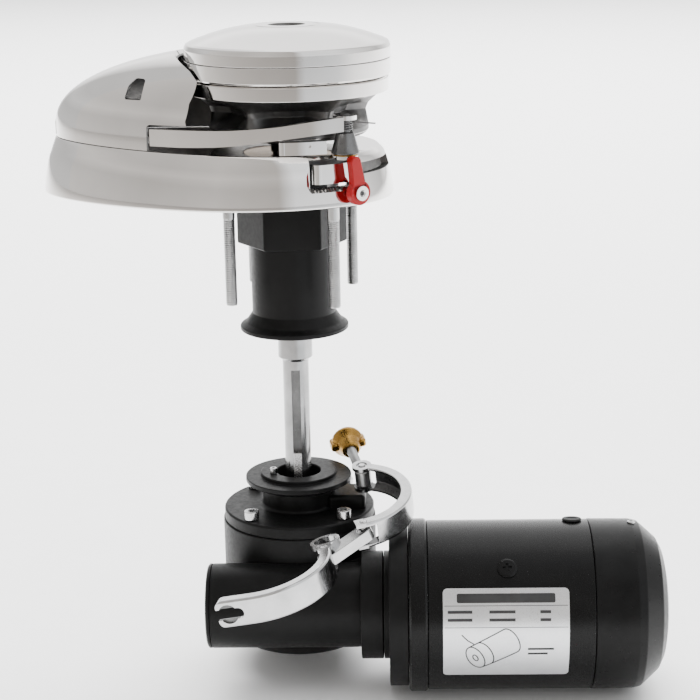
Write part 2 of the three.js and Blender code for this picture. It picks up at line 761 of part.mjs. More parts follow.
add('worm_end_cover', wormEndCover(), 'castBlack', motorUnit);
add('worm_shaft', wormShaft(), 'steel', motorUnit);
add('worm_bearing_rear', ballBearing(8 + facet, 22 - facet, -52, -42).rotateY(90 * degree), 'steel', motorUnit);
add('worm_bearing_front', ballBearing(8 + facet, 22 - facet, 42, 52).rotateY(90 * degree), 'steel', motorUnit);
add('motor_adapter', motorAdapter(), 'castBlack', motorUnit);
add('motor_bell', motorBell(), 'paintBlack', motorUnit);
add('motor_can', motorCan(), 'paintBlack', motorUnit);
add('motor_end_cap', motorEndCap(), 'plasticBlack', motorUnit);
add('field_magnet_1', fieldMagnet(15, 165), 'magnet', motorUnit);
add('field_magnet_2', fieldMagnet(195, 345), 'magnet', motorUnit);
add('armature', armature(), 'steel', motorUnit);
add('commutator', commutator(), 'copper', motorUnit);
add('brush_holder', brushHolder(), 'plasticBlack', motorUnit);
add('nameplate', nameplate(), 'plate', motorUnit);
const pole = add('pole_screw', poleScrew().translate(140.5, 0, 0), 'steel', motorUnit);
pole.rotation.x = 43.3 * degree;
const grommet = add('cable_grommet', cableGrommet().translate(186.8, 0, 0), 'rubber', motorUnit);
grommet.rotation.x = -8.6 * degree;

const clampUnit = new THREE.Group();
clampUnit.rotation.z = clampYaw * degree;
group.add(clampUnit);
const linkFrom = pinAt(rightFrame, -rightSpan);
const linkTo = pinAt(leftFrame, 0);
const linkWay = linkTo.clone().sub(linkFrom);
const linkTilt = axisOf(rightFrame).add(axisOf(leftFrame));
const linkNormal = linkTilt.clone().addScaledVector(linkWay, -linkTilt.dot(linkWay) / linkWay.lengthSq());
const boltAt = pinAt(rightFrame, rightSpan);
const boltWay = vec(-8.5, 47, 0);
const boltFrame = frameOf(boltAt, axisOf(rightFrame), boltWay);

place(add('clamp_link', clampLink(linkFrom, linkTo), 'steel', clampUnit),
  frameOf(linkFrom, linkNormal, linkWay));
place(add('clamp_jaw_right', rightJaw(), 'steel', clampUnit), rightFrame);
place(add('clamp_jaw_left', leftJaw(), 'steel', clampUnit), leftFrame);
place(add('link_pin_right', clampPin(), 'steel', clampUnit), frameOf(linkFrom, axisOf(rightFrame), vec(1, 0, 0)));
place(add('link_pin_left', clampPin(), 'steel', clampUnit), frameOf(linkTo, axisOf(leftFrame), vec(1, 0, 0)));
place(add('bolt_pin', clampPin(), 'steel', clampUnit), frameOf(boltAt, axisOf(rightFrame), vec(1, 0, 0)));
place(add('swing_bolt', swingBolt(), 'steel', clampUnit), boltFrame);
place(add('wing_nut', wingNut().translate(48, 0, 0), 'brass', clampUnit), boltFrame);

export default group;
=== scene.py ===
# The looks of the anchor windlass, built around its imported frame.
# Shapes are written in millimetres in the frame's own axes and become metres in mesh_object.
import json
import math

import bmesh
import bpy
from mathutils import Matrix, Vector


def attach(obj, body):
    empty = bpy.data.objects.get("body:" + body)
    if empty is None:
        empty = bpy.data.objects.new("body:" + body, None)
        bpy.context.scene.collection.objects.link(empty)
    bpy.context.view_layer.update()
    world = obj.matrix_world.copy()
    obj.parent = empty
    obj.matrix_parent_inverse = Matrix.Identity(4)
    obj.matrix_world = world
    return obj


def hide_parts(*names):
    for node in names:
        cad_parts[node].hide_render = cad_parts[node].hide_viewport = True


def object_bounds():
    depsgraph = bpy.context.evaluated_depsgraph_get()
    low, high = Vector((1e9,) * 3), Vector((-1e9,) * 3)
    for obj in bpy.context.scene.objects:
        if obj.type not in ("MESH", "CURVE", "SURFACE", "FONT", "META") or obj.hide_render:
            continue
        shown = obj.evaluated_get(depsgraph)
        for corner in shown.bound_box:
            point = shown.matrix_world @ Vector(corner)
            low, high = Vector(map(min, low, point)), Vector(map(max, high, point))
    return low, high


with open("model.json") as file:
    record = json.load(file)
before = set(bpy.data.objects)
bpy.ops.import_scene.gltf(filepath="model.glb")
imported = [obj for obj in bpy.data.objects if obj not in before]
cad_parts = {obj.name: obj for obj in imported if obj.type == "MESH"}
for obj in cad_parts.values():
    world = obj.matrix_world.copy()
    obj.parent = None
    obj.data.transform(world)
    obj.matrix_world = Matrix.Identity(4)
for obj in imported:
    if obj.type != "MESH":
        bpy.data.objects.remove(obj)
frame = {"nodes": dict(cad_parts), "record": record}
cad_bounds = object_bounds()

MM = 0.001
TURN = 2 * math.pi
NEARLY_STRAIGHT = math.radians(88)  # half a corner's angle, from which it is left as it is


def turn_z(degrees):
    return Matrix.Rotation(math.radians(degrees), 4, "Z")


def turn_x(degrees):
    return Matrix.Rotation(math.radians(degrees), 4, "X")


def move(x, y, z=0):
    return Matrix.Translation((x, y, z))


def polar(radius, degrees):
    return radius * math.cos(math.radians(degrees)), radius * math.sin(math.radians(degrees))


def tone(level, warmth=0.0):
    """A grey that is a little warm, or cool where warmth is negative."""
    return level * (1 + warmth), level, level * (1 - warmth)


# ---- places of the frame
GEAR_YAW = 8.4  # the gearbox is turned this much from the base
CLAMP_YAW = 10
TUBE_YAW = 10
WORM_Y, WORM_Z = -56, -275
ALONG_X = Matrix.Rotation(math.radians(90), 4, "Y")  # a lathe's axis laid on X
GEAR = turn_z(GEAR_YAW)
MOTOR = GEAR @ move(0, WORM_Y, WORM_Z)
SCREW_ANGLES = (-133, -45, 45, 137)
STUD_REACH = 49.5
LEVER_ANGLE = -43  # where the pawl lever stands on the base
LEVER_LEAN = 9
LEVER_Z = 10
POST = (45.5, -44.5)  # the control arm's post


# ---- mesh helpers
def add_object(name, data):
    obj = bpy.data.objects.new(name, data)
    bpy.context.scene.collection.objects.link(obj)
    return obj


def mesh_object(vertices, faces):
    mesh = bpy.data.meshes.new("piece")
    mesh.from_pydata([Vector(v) * MM for v in vertices], [], faces)
    work = bmesh.new()
    work.from_mesh(mesh)
    bmesh.ops.remove_doubles(work, verts=work.verts, dist=1e-7)
    bmesh.ops.recalc_face_normals(work, faces=work.faces)
    work.to_mesh(mesh)
    work.free()
    return add_object("piece", mesh)


def fillet(points, radius, steps, closed):
    """Rounds the corners of an outline; radius is one number or one for each point."""
    radii = radius if isinstance(radius, (list, tuple)) else [radius] * len(points)
    result = []
    for i, point in enumerate(points):
        corner = Vector(point)
        before = Vector(points[i - 1]) - corner
        after = Vector(points[(i + 1) % len(points)]) - corner
        half = before.angle(after, 0) / 2
        open_end = not closed and i in (0, len(points) - 1)
        if radii[i] == 0 or open_end or half > NEARLY_STRAIGHT:
            result.append(tuple(point))
            continue
        reach = min(radii[i] / math.tan(half), 0.48 * before.length, 0.48 * after.length)
        start = before.normalized() * reach
        end = after.normalized() * reach
        centre = (start + end).normalized() * reach / math.cos(half)
        first, last = start - centre, end - centre
        sweep = math.pi - 2 * half
        sign = 1 if first.x * last.y - first.y * last.x > 0 else -1
        for k in range(steps + 1):
            turned = Matrix.Rotation(sign * sweep * k / steps, 2) @ first
            result.append(tuple(corner + centre + turned))
    return result


def lathe(outline, radius=0.5, steps=96, arc_steps=4, shape=None):
    """A solid of revolution about Z; shape(r, z, angle) may move each point."""
    on_axis = outline[0][0] == 0 and outline[-1][0] == 0
    points = fillet(outline, radius, arc_steps, closed=not on_axis)
    vertices, faces = [], []
    for j in range(steps):
        angle = j / steps * TURN
        for r, z in points:
            if shape:
                r, z = shape(r, z, angle)
            vertices.append((r * math.cos(angle), r * math.sin(angle), z))
    count = len(points)
    spans = count - 1 if on_axis else count
    for j in range(steps):
        k = (j + 1) % steps
        for i in range(spans):
            n = (i + 1) % count
            faces.append((j * count + i, k * count + i, k * count + n, j * count + n))
    return mesh_object(vertices, faces)


def loft(rings):
    """A closed body through rings of points, with flat ends."""
    count = len(rings[0])
    vertices = [p for ring in rings for p in ring]
    faces = []
    for r in range(len(rings) - 1):
        for i in range(count):
            j = (i + 1) % count
            faces.append((r * count + i, r * count + j, (r + 1) * count + j, (r + 1) * count + i))
    faces.append(tuple(range(count)))
    faces.append(tuple((len(rings) - 1) * count + i for i in range(count)))
    return mesh_object(vertices, faces)


def prism(outline, low, high):
    """A flat outline in the XY plane, raised from low to high."""
    return loft([[(x, y, z) for x, y in outline] for z in (low, high)])


def block(x0, x1, y0, y1, z0, z1):
    return prism([(x0, y0), (x1, y0), (x1, y1), (x0, y1)], z0, z1)


def circle(radius, count, phase=0.0):
    return [polar(radius, 360 * (i + phase) / count) for i in range(count)]


def rod(radius, low, high, steps=64):
    """An upright cylinder on the Z axis."""
    return prism(circle(radius, steps), low, high)


def place(obj, matrix):
    """Moves a piece's mesh by a matrix whose translation is in millimetres."""
    scaled = matrix.copy()
    scaled.translation = matrix.translation * MM
    obj.data.transform(scaled)
    return obj


def evaluated_mesh(obj):
    graph = bpy.context.evaluated_depsgraph_get()
    return bpy.data.meshes.new_from_object(obj.evaluated_get(graph))


def bake(obj):
    """Applies the piece's modifiers to its mesh."""
    made = evaluated_mesh(obj)
    obj.modifiers.clear()
    obj.data = made
    return obj


def boolean(obj, tool, operation):
    modifier = obj.modifiers.new("bool", "BOOLEAN")
    modifier.object = tool
    modifier.operation = operation
    modifier.solver = "EXACT"
    bake(obj)
    bpy.data.objects.remove(tool)
    return obj


def cut(obj, *tools):
    for tool in tools:
        boolean(obj, tool, "DIFFERENCE")
    return obj


def join(obj, *others):
    for other in others:
        boolean(obj, other, "UNION")
    return obj


def merge(obj, *others):
    """Puts pieces that only touch each other into one mesh."""
    work = bmesh.new()
    for piece in (obj, *others):
        work.from_mesh(piece.data)
    work.to_mesh(obj.data)
    work.free()
    for other in others:
        bpy.data.objects.remove(other)
    return obj


def bevel(obj, width, segments=2, angle=32):
    modifier = obj.modifiers.new("bevel", "BEVEL")
    modifier.width = width * MM
    modifier.segments = segments
    modifier.limit_method = "ANGLE"
    modifier.angle_limit = math.radians(angle)
    modifier.use_clamp_overlap = True
    return bake(obj)


def smooth(obj, angle=32):
    mesh = obj.data
    mesh.polygons.foreach_set("use_smooth", [True] * len(mesh.polygons))
    mesh.set_sharp_from_angle(angle=math.radians(angle))
    mesh.update()
    weighted = obj.modifiers.new("weighted", "WEIGHTED_NORMAL")
    weighted.keep_sharp = True
    return bake(obj)


def thread(radius, depth, pitch, low, high):
    """A screw-threaded rod about Z with plain ends."""
    around, per_turn = 24, 6
    rows = int((high - low) / pitch * per_turn)
    rings = []
    for i in range(rows + 1):
        z = low + (high - low) * i / rows
        edge = min(1, (z - low) / pitch, (high - z) / pitch)
        ring = []
        for j in range(around):
            phase = (z / pitch - j / around) % 1
            r = radius - depth * (1 - edge * abs(1 - 2 * phase))
            ring.append((*polar(r, 360 * j / around), z))
        rings.append(ring)
    return loft(rings)


# ---- materials
def new_material(name):
    material = bpy.data.materials.new(name)
    material.use_nodes = True
    tree = material.node_tree
    shader = tree.nodes["Principled BSDF"]
    place_in = tree.nodes.new("ShaderNodeTexCoord").outputs["Object"]
    return material, tree, shader, place_in


def stretched(tree, place_in, scale):
    mapping = tree.nodes.new("ShaderNodeMapping")
    mapping.inputs["Scale"].default_value = scale
    tree.links.new(place_in, mapping.inputs["Vector"])
    return mapping.outputs["Vector"]


def noise(tree, place_in, scale, detail=4.0):
    node = tree.nodes.new("ShaderNodeTexNoise")
    node.inputs["Scale"].default_value = scale
    node.inputs["Detail"].default_value = detail
    node.inputs["Roughness"].default_value = 0.55
    tree.links.new(place_in, node.inputs["Vector"])
    return node.outputs["Fac"]


def colour_stops(tree, value, stops):
    """Turns a 0 to 1 value into a colour, given the colours at some of its values."""
    node = tree.nodes.new("ShaderNodeValToRGB")
    elements = node.color_ramp.elements
    while len(elements) < len(stops):
        elements.new(0.5)
    for element, (position, colour) in zip(elements, stops):
        element.position = position
        element.color = (*colour, 1)
    tree.links.new(value, node.inputs["Fac"])
    return node.outputs["Color"]


NOISE_LOW, NOISE_HIGH = 0.3, 0.7  # noise seldom goes past these


def blend(tree, value, dark, light):
    """Turns noise into a colour between dark and light."""
    return colour_stops(tree, value, ((NOISE_LOW, dark), (NOISE_HIGH, light)))


def spread(tree, value, low, high):
    """Turns noise into a number between low and high."""
    node = tree.nodes.new("ShaderNodeMapRange")
    sockets = ("From Min", "From Max", "To Min", "To Max")
    for socket, number in zip(sockets, (NOISE_LOW, NOISE_HIGH, low, high)):
        node.inputs[socket].default_value = number
    tree.links.new(value, node.inputs["Value"])
    return node.outputs["Result"]


def surface(tree, shader, patches, tones, fine, rough, strength, bump_mm):
    """Colour from soft patches, roughness and relief from fine grain."""
    tree.links.new(blend(tree, patches, *tones), shader.inputs["Base Color"])
    tree.links.new(spread(tree, fine, *rough), shader.inputs["Roughness"])
    bump = tree.nodes.new("ShaderNodeBump")
    bump.inputs["Strength"].default_value = strength
    bump.inputs["Distance"].default_value = bump_mm * MM
    tree.links.new(fine, bump.inputs["Height"])
    tree.links.new(bump.outputs["Normal"], shader.inputs["Normal"])


ALONG, ACROSS = (1, 1, 6), (8, 1, 1)  # grain drawn out along Z, or across X


def metal(name, dark, light, rough, grain=(1, 1, 1), grain_scale=900, wear=60, bump_mm=0.01,
          strength=0.15):
    """Bare or plated metal."""
    material, tree, shader, place_in = new_material(name)
    shader.inputs["Metallic"].default_value = 1.0
    patches = noise(tree, place_in, wear, 3)
    fine = noise(tree, stretched(tree, place_in, grain), grain_scale, 5)
    surface(tree, shader, patches, (dark, light), fine, rough, strength, bump_mm)
    return material


def coated(name, dark, light, rough, grain_scale=700, bump_mm=0.05, strength=0.3, specular=0.3):
    """Paint, plastic or rubber."""
    material, tree, shader, place_in = new_material(name)
    shader.inputs["Specular IOR Level"].default_value = specular
    patches = noise(tree, place_in, 45, 4)
    fine = noise(tree, place_in, grain_scale, 2)
    surface(tree, shader, patches, (dark, light), fine, rough, strength, bump_mm)
    return material


CHROME = metal("chrome_plate", (0.72, 0.70, 0.68), (0.80, 0.78, 0.76), (0.035, 0.08),
               grain_scale=500, wear=18, bump_mm=0.004, strength=0.08)
# dark metal for deep faces: the castings' rough inside, and painted shade in their hollows, the gypsy's
# groove and the cap's socket
ROUGH_INSIDE_AND_PAINTED_SHADE = metal("rough_inside_and_painted_shade", tone(0.10), (0.17, 0.165, 0.16), (0.32, 0.5), grain_scale=400,
                    bump_mm=0.05, strength=0.3)
STEEL = metal("machined_steel", tone(0.55), tone(0.68), (0.18, 0.32), ALONG)
THREAD_STEEL = metal("threaded_steel", tone(0.42), tone(0.56), (0.25, 0.4), ALONG)
POLISHED = metal("polished_steel", tone(0.46), tone(0.60), (0.12, 0.24), grain_scale=300)
GROUND_STEEL = metal("ground_steel", tone(0.26), tone(0.38), (0.14, 0.24), ALONG)
# dark steel for the arm's post and spring, also laid on as painted shade in the shaft's keyway and the
# clamp's channel
DARK_STEEL_AND_PAINTED_SHADE = metal("dark_steel_and_painted_shade", tone(0.10), tone(0.17), (0.25, 0.4))
BRASS = metal("bare_brass", (0.26, 0.14, 0.03), (0.42, 0.24, 0.06), (0.18, 0.4), wear=150)
BRONZE = metal("machined_bronze", (0.22, 0.15, 0.08), (0.32, 0.22, 0.12), (0.25, 0.4))
COPPER = metal("machined_copper", (0.55, 0.27, 0.16), (0.72, 0.40, 0.26), (0.22, 0.38))
CAST_BLACK = coated("satin_black_casting", tone(0.003), tone(0.006), (0.36, 0.48),
                    grain_scale=350, strength=0.25, specular=0.14)
PAINT_BLACK = coated("gloss_black_paint", tone(0.002), tone(0.004), (0.25, 0.29),
                     grain_scale=1500, bump_mm=0.002, strength=0.04, specular=0.16)
PLASTIC_BLACK = coated("moulded_black_plastic", tone(0.002), tone(0.005), (0.27, 0.36),
                       grain_scale=300, bump_mm=0.02, strength=0.15, specular=0.14)
RUBBER = coated("black_rubber", tone(0.012), tone(0.022), (0.6, 0.8), grain_scale=900)
RED = coated("red_plastic", (0.28, 0.002, 0.004), (0.34, 0.003, 0.005), (0.28, 0.4),
             grain_scale=600, bump_mm=0.02, strength=0.2)
FERRITE = coated("grey_ferrite", (0.05, 0.05, 0.055), (0.08, 0.08, 0.085), (0.6, 0.75), grain_scale=1200)
PLATE = metal("label_aluminium", (0.72, 0.73, 0.75), (0.80, 0.81, 0.82), (0.25, 0.34), ACROSS)
# dark ink for the nameplate's print, also used as painted shade in the lever screw's socket
INK_AND_PAINTED_SHADE = coated("printed_ink_and_painted_shade", tone(0.02), tone(0.035), (0.4, 0.5))

MATERIAL_OF_SLOT = {
    "chrome": CHROME, "steel": STEEL, "cast_black": CAST_BLACK, "motor_paint": PAINT_BLACK,
    "black_plastic": PLASTIC_BLACK, "rubber": RUBBER, "red_plastic": RED, "brass": BRASS,
    "bronze": BRONZE, "copper": COPPER, "magnet": FERRITE, "label_plate": PLATE,
}
SLOT_OF_NODE = {entry["node"]: entry["material_slot"] for entry in frame["record"]["subparts"]}
BODY_OF_NODE = {
    node: body for body, nodes in frame["record"]["behaviour"]["bodies"].items() for node in nodes
}


def dress(obj, material):
    obj.data.materials.clear()
    obj.data.materials.append(material)


def finish(obj, name, body, material, angle=32):
    """Names, shades and dresses a piece, and puts it on the body it moves with."""
    obj.name = name
    smooth(obj, angle)
    dress(obj, material)
    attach(obj, body)


def stand_in(obj, node, material=None, angle=32):
    """Finishes a piece that takes the place of a CAD node."""
    slot = SLOT_OF_NODE[node]
    finish(obj, node + "_shape", BODY_OF_NODE[node], material or MATERIAL_OF_SLOT[slot], angle)
    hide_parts(node)


def turned(node, outline, radius=0.6, steps=96, at=None, material=None):
    """A plain turned piece: its outline spun about Z, moved into place and finished."""
    obj = lathe(outline, radius, steps)
    if at:
        place(obj, at)
    stand_in(obj, node, material)


for node_name, node_object in frame["nodes"].items():
    dress(node_object, MATERIAL_OF_SLOT[SLOT_OF_NODE[node_name]])

# ---- base
EGG_CENTRE_X = -35
EGG_FRONT, EGG_BACK = 137, 104
EGG_HALF_WIDTH = 75
FRONT_POWER, BACK_POWER = 1.65, 2.1
EGG_TIP_X, EGG_HEEL_X = EGG_CENTRE_X - EGG_FRONT, EGG_CENTRE_X + EGG_BACK
RIM_INSET = 10.5
RIM_HEIGHT, RIM_SLOPE = 38.3, 0.0258  # the rim's height at x = -165 and its fall along X
WALL_LEAN = 3 / 20  # the side wall's inset for each millimetre of height
SKIN, HOOD_SKIN = 1.6, 1.4  # faces deeper than this are a casting's rough inside, darkened also as painted shade
HOOD_TOP_X = -45
HOOD_LENGTH = 118
HOOD_HEIGHT = 62
HOOD_SECTION = 2.4
HOOD_WALL = 4
GAP = 0.3


def rim_z(x):
    """Height of the base's upper edge, which falls towards the blunt end."""
    return RIM_HEIGHT - (x + 165) * RIM_SLOPE


def egg_half(in_front):
    """Length and roundness of the egg's pointed or its blunt half."""
    return (EGG_FRONT, FRONT_POWER) if in_front else (EGG_BACK, BACK_POWER)


def egg_ring(inset, height, count=240):
    ring = []
    for i in range(count):
        c, s = math.cos(i / count * TURN), math.sin(i / count * TURN)
        length, power = egg_half(c < 0)
        scale = (abs(c) ** power + abs(s) ** power) ** (-1 / power)
        x = EGG_CENTRE_X + (length - inset) * scale * c
        z = height(x) if callable(height) else height
        ring.append((x, (EGG_HALF_WIDTH - inset) * scale * s, z))
    return ring


def egg_half_width(x, inset):
    length, power = egg_half(x < EGG_CENTRE_X)
    share = abs((x - EGG_CENTRE_X) / (length - inset)) ** power
    return (EGG_HALF_WIDTH - inset) * max(0.0, 1 - share) ** (1 / power)


def sector(inner, outer, start, end, low, high, steps=40):
    """Part of a ring between two angles."""
    angles = [start + (end - start) * i / steps for i in range(steps + 1)]
    outline = [polar(outer, a) for a in angles] + [polar(inner, a) for a in reversed(angles)]
    return prism(outline, low, high)


# inset and height of the side wall: a small foot radius, then a lean that grows upwards
BASE_WALL = ((1.2, 0), (0.5, 0.2), (0.1, 0.7), (0, 1.5), (0.3, 5), (1, 10), (1.9, 15), (3, 20),
             (4.4, 25), (6.2, 29))
POCKET_START, POCKET_LOW, POCKET_HIGH = -67, 13, 31


def wall_radius(angle, height):
    """How far the base's side wall is from the Z axis in a direction, at a height."""
    inset = WALL_LEAN * height
    x, y = polar(1, angle)
    low, high = 20.0, 180.0
    for _ in range(40):
        middle = (low + high) / 2
        if abs(y * middle) < egg_half_width(x * middle, inset):
            low = middle
        else:
            high = middle
    return low


def inside_base(point):
    """Whether a point lies deeper than the base's skin."""
    if not 0.6 < point.z < 31.2:
        return False
    inset = 12.0
    for (inset_a, z_a), (inset_b, z_b) in zip(BASE_WALL, BASE_WALL[1:]):
        if z_a <= point.z < z_b:
            inset = inset_a + (inset_b - inset_a) * (point.z - z_a) / (z_b - z_a) + SKIN
    if not EGG_TIP_X + inset < point.x < EGG_HEEL_X - inset:
        return False
    return abs(point.y) < egg_half_width(point.x, inset)


def flared_edge(start, end, low, high):
    """The chamfer round the left, lower and upper edges of the pawl's pocket."""
    lead, steps = 2.2, 24               # degrees over which the chamfer grows, and its sections
    rings = []
    for i in range(steps + 1):
        angle = start - lead + (end - start + lead) * i / steps
        wall = wall_radius(angle, 22)
        grow = min(1, max(0.0, (angle - start + lead) / lead))
        near, far = polar(wall - 1.6 * grow, angle), polar(wall + 4, angle)
        pinch = (1 - grow) * 2
        rings.append([(*near, low + pinch), (*far, low - 3.6 * grow + pinch),
                      (*far, high - pinch), (*near, high - pinch)])
    return loft(rings)


def paint_faces(obj, material, test):
    """Gives a second material to the faces whose centre, in millimetres, passes a test."""
    obj.data.materials.append(material)
    for face in obj.data.polygons:
        if test(face.center / MM, face.normal):
            face.material_index = 1


def base_casting():
    rings = [egg_ring(inset, z) for inset, z in BASE_WALL]
    for share, inset in ((0.35, 7.4), (0.7, 8.7), (0.9, 9.5), (0.97, 9.9), (1.0, 10.6)):
        rings.append(egg_ring(inset, lambda x, s=share: 29 + (rim_z(x) - 29) * s))
    body = loft(rings)
    hollow = loft([egg_ring(5, -1, 120), egg_ring(8, 20, 120), egg_ring(11, 27, 120)])
    cut(body, hollow)
    join(body, place(rod(8.2, 31, 33), move(*POST)))
    pocket = sector(52, 90, POCKET_START, -31.5, POCKET_LOW, POCKET_HIGH)
    flare = flared_edge(POCKET_START, -48, POCKET_LOW, POCKET_HIGH)
    channel = sector(52, 90, -33, 6, 19.5, 26.5)
    chain = block(-116, -82, -24, 24, 20, 60)
    cut(body, pocket, channel, flare, chain, rod(16, 20, 60))
    bevel(body, 0.5, 2, 40)
    stand_in(body, "base_casting")
    # the base's hollow takes the dark inside material: rough casting, and painted shade inside the hollow
    paint_faces(body, ROUGH_INSIDE_AND_PAINTED_SHADE, lambda c, n: inside_base(c))


def hood_size(x, offset):
    """Height and half width of the hood's section at x, this far inside its outer surface."""
    reach = min(1.0, max(0.0, (HOOD_TOP_X - x) / (HOOD_LENGTH - offset)))
    return (HOOD_HEIGHT - offset) * (1 - reach ** 1.5) ** 0.4, egg_half_width(x, RIM_INSET + offset)


def hood_ring(x, offset):
    height, half = hood_size(x, offset)
    around, power = 64, 2 / HOOD_SECTION
    ring = []
    for i in range(around + 1):
        angle = i / around * math.pi
        rise = max(0.0, math.sin(angle)) ** power * height
        side = math.copysign(abs(math.cos(angle)) ** power * half, math.cos(angle))
        ring.append((x, side, rim_z(x) + GAP + rise))
    foot = rim_z(x) + GAP - 0.01 - offset * 1.5
    return ring + [(x, -half, foot), (x, half, foot)]


def inside_hood(point):
    """Whether a point lies deeper than the hood's skin."""
    height, half = hood_size(point.x, HOOD_SKIN)
    if height < 1 or half < 1:
        return False
    up = point.z - rim_z(point.x) - GAP
    return abs(point.y / half) ** HOOD_SECTION + abs(up / height) ** HOOD_SECTION < 1


def hood():
    tip = HOOD_TOP_X - HOOD_LENGTH
    steps, reach = 70, 137              # sections, which crowd at the tip, and the length they cover
    stations = [tip + 0.4 + reach * (i / steps) ** 2 for i in range(steps + 1)]
    shell = loft([hood_ring(x, 0) for x in stations])
    inner = [x for x in stations if x > tip + HOOD_WALL + 2]
    cut(shell, loft([hood_ring(x, HOOD_WALL) for x in inner]))
    mouth = [(0, 20), (82, 20), (82, 56), (78, 67), (69.6, 80), (69.6, 86), (73, 92.5), (77, 99),
             (77, 130), (0, 130)]
    cut(shell, lathe(mouth, [0, 0, 6, 6, 4, 4, 3, 2, 0, 0], steps=160))
    notch = [(-82.3, 20), (-30, 20), (-30, 53.2), (-82.3, 53.2)]
    window = [(-99.5, 68), (-87, 68), (-85.5, 80.5), (-92.5, 81), (-97.5, 76.5)]
    for outline, radii, near in ((notch, [0, 0, 0, 2.5], 40), (window, [1.2, 1.2, 1.5, 4, 5], 20)):
        opening = prism(fillet(outline, radii, 5, closed=True), near, 90)
        cut(shell, place(opening, turn_x(90)))
    bevel(shell, 0.7, 3, 40)
    stand_in(shell, "hood")
    # the hood's inside takes the dark inside material: rough casting, and painted shade inside the hollow
    paint_faces(shell, ROUGH_INSIDE_AND_PAINTED_SHADE, lambda c, n: inside_hood(c))


base_casting()
hood()

# ---- deck tube and studs
HEX_RADIUS = 37.3
HEX_YAW = 12
STUD_RADIUS = 4


def deck_tube():
    body = lathe([
        (28.5, -81.4), (28.5, -20), (31, -19), (31, 27.5), (23.8, 27.5), (23.8, -89.4), (26.8, -89.4),
        (26.8, -93.4), (37, -93.4), (37, -90.4), (33, -87.9)],
        [1, 0, 0, 0.5, 0.5, 0.3, 0.3, 0.4, 0.8, 1, 4], steps=160)
    hexagon = place(rod(HEX_RADIUS, -33.5, -GAP, 6), turn_z(HEX_YAW))
    bevel(hexagon, 1.2, 4, 40)
    stand_in(merge(body, hexagon), "deck_tube")


def studs():
    for number, angle in enumerate((45, 135, 225, 315), start=1):
        shank = lathe([(0, -11.5), (STUD_RADIUS - 0.1, -11.5), (STUD_RADIUS, -10), (STUD_RADIUS, 21),
                       (0, 21)], 0.3, steps=48)
        stud = merge(shank, thread(STUD_RADIUS, 0.55, 1.25, -70, -11))
        place(stud, move(*polar(STUD_REACH, angle)))
        stand_in(stud, f"stud_{number}", THREAD_STEEL, angle=60)


deck_tube()
studs()


# ---- shaft, gypsy and cap
def main_shaft():
    body = lathe([
        (0, -212), (8, -212), (9, -211), (9, -116), (11.8, -113.5), (11.8, -92), (12.5, -91), (12.5, 40),
        (11, 40), (11, 92), (10, 93), (0, 93)], 0.25)
    tube, top = turn_z(TUBE_YAW), -122
    groove = block(-3, 3, -20, -6, -214, top)
    round_end = place(rod(3, -20, -6, 48), move(0, 0, top) @ turn_x(-90) @ Matrix.Scale(-1, 4, (0, 0, 1)))
    cut(body, place(groove, tube), place(round_end, tube))
    stand_in(body, "main_shaft", GROUND_STEEL)
    # painted shade: the keyway's floor and walls take the dark steel in place of the shade in the groove
    paint_faces(body, DARK_STEEL_AND_PAINTED_SHADE, lambda c, n: math.hypot(c.x, c.y) < 8.6 and -210 < c.z < -118)


def drive_key():
    key = bevel(block(-2.8, 2.8, -11.4, -6.3, -211, -181), 0.4)
    stand_in(place(key, turn_z(TUBE_YAW)), "drive_key")


GROOVE_LOW, GROOVE_HIGH = 46.5, 68  # the gypsy's chain groove, its edges at radius 53 and 62


def chain_pockets(r, z, angle):
    """Fills the chain groove with six ribs, which leaves six pockets between them."""
    if not (GROOVE_LOW < z < GROOVE_HIGH and r > 36):
        return r, z
    rim = 53 + (z - GROOVE_LOW) / (GROOVE_HIGH - GROOVE_LOW) * 9
    rib = max(0.0, math.cos(6 * (angle - math.radians(12)))) ** 1.5
    return r + 0.7 * rib * max(0.0, rim - r), z


def gypsy():
    low = [(53 - 15 * i / 8, GROOVE_LOW + 9.5 * i / 8) for i in range(9)]
    high = [(40 + 22 * i / 8, 60 + 8 * i / 8) for i in range(9)]
    outline = [(31.5, 41), (51, 41), (53, 43), *low, *high, (66.6, 69.1), (66.6, 77.6), (65.6, 78.4),
               (31.5, 78.4), (25, 60.5), (25, 57.5)]
    wheel = lathe(outline, 0.5, steps=288, shape=chain_pockets)
    stand_in(wheel, "gypsy", angle=40)

    # painted shade: the chain groove and the faces under the rim take the dark inside material in place of
    # their shade
    def in_groove(centre, normal):
        below_rim = centre.z < 68.6 and math.hypot(centre.x, centre.y) < 63
        return below_rim and (centre.z > 43.2 or normal.z < -0.5)

    paint_faces(wheel, ROUGH_INSIDE_AND_PAINTED_SHADE, in_groove)


def clutch_nut():
    outline = [(11.3, 79.2), (66.8, 79.2), (68.1, 80.4), (68.1, 90.3), (15, 90.3), (15, 92.5), (11.3, 92.5)]
    turned("clutch_nut", outline, 0.35, 192)


CAP_TOP = 112


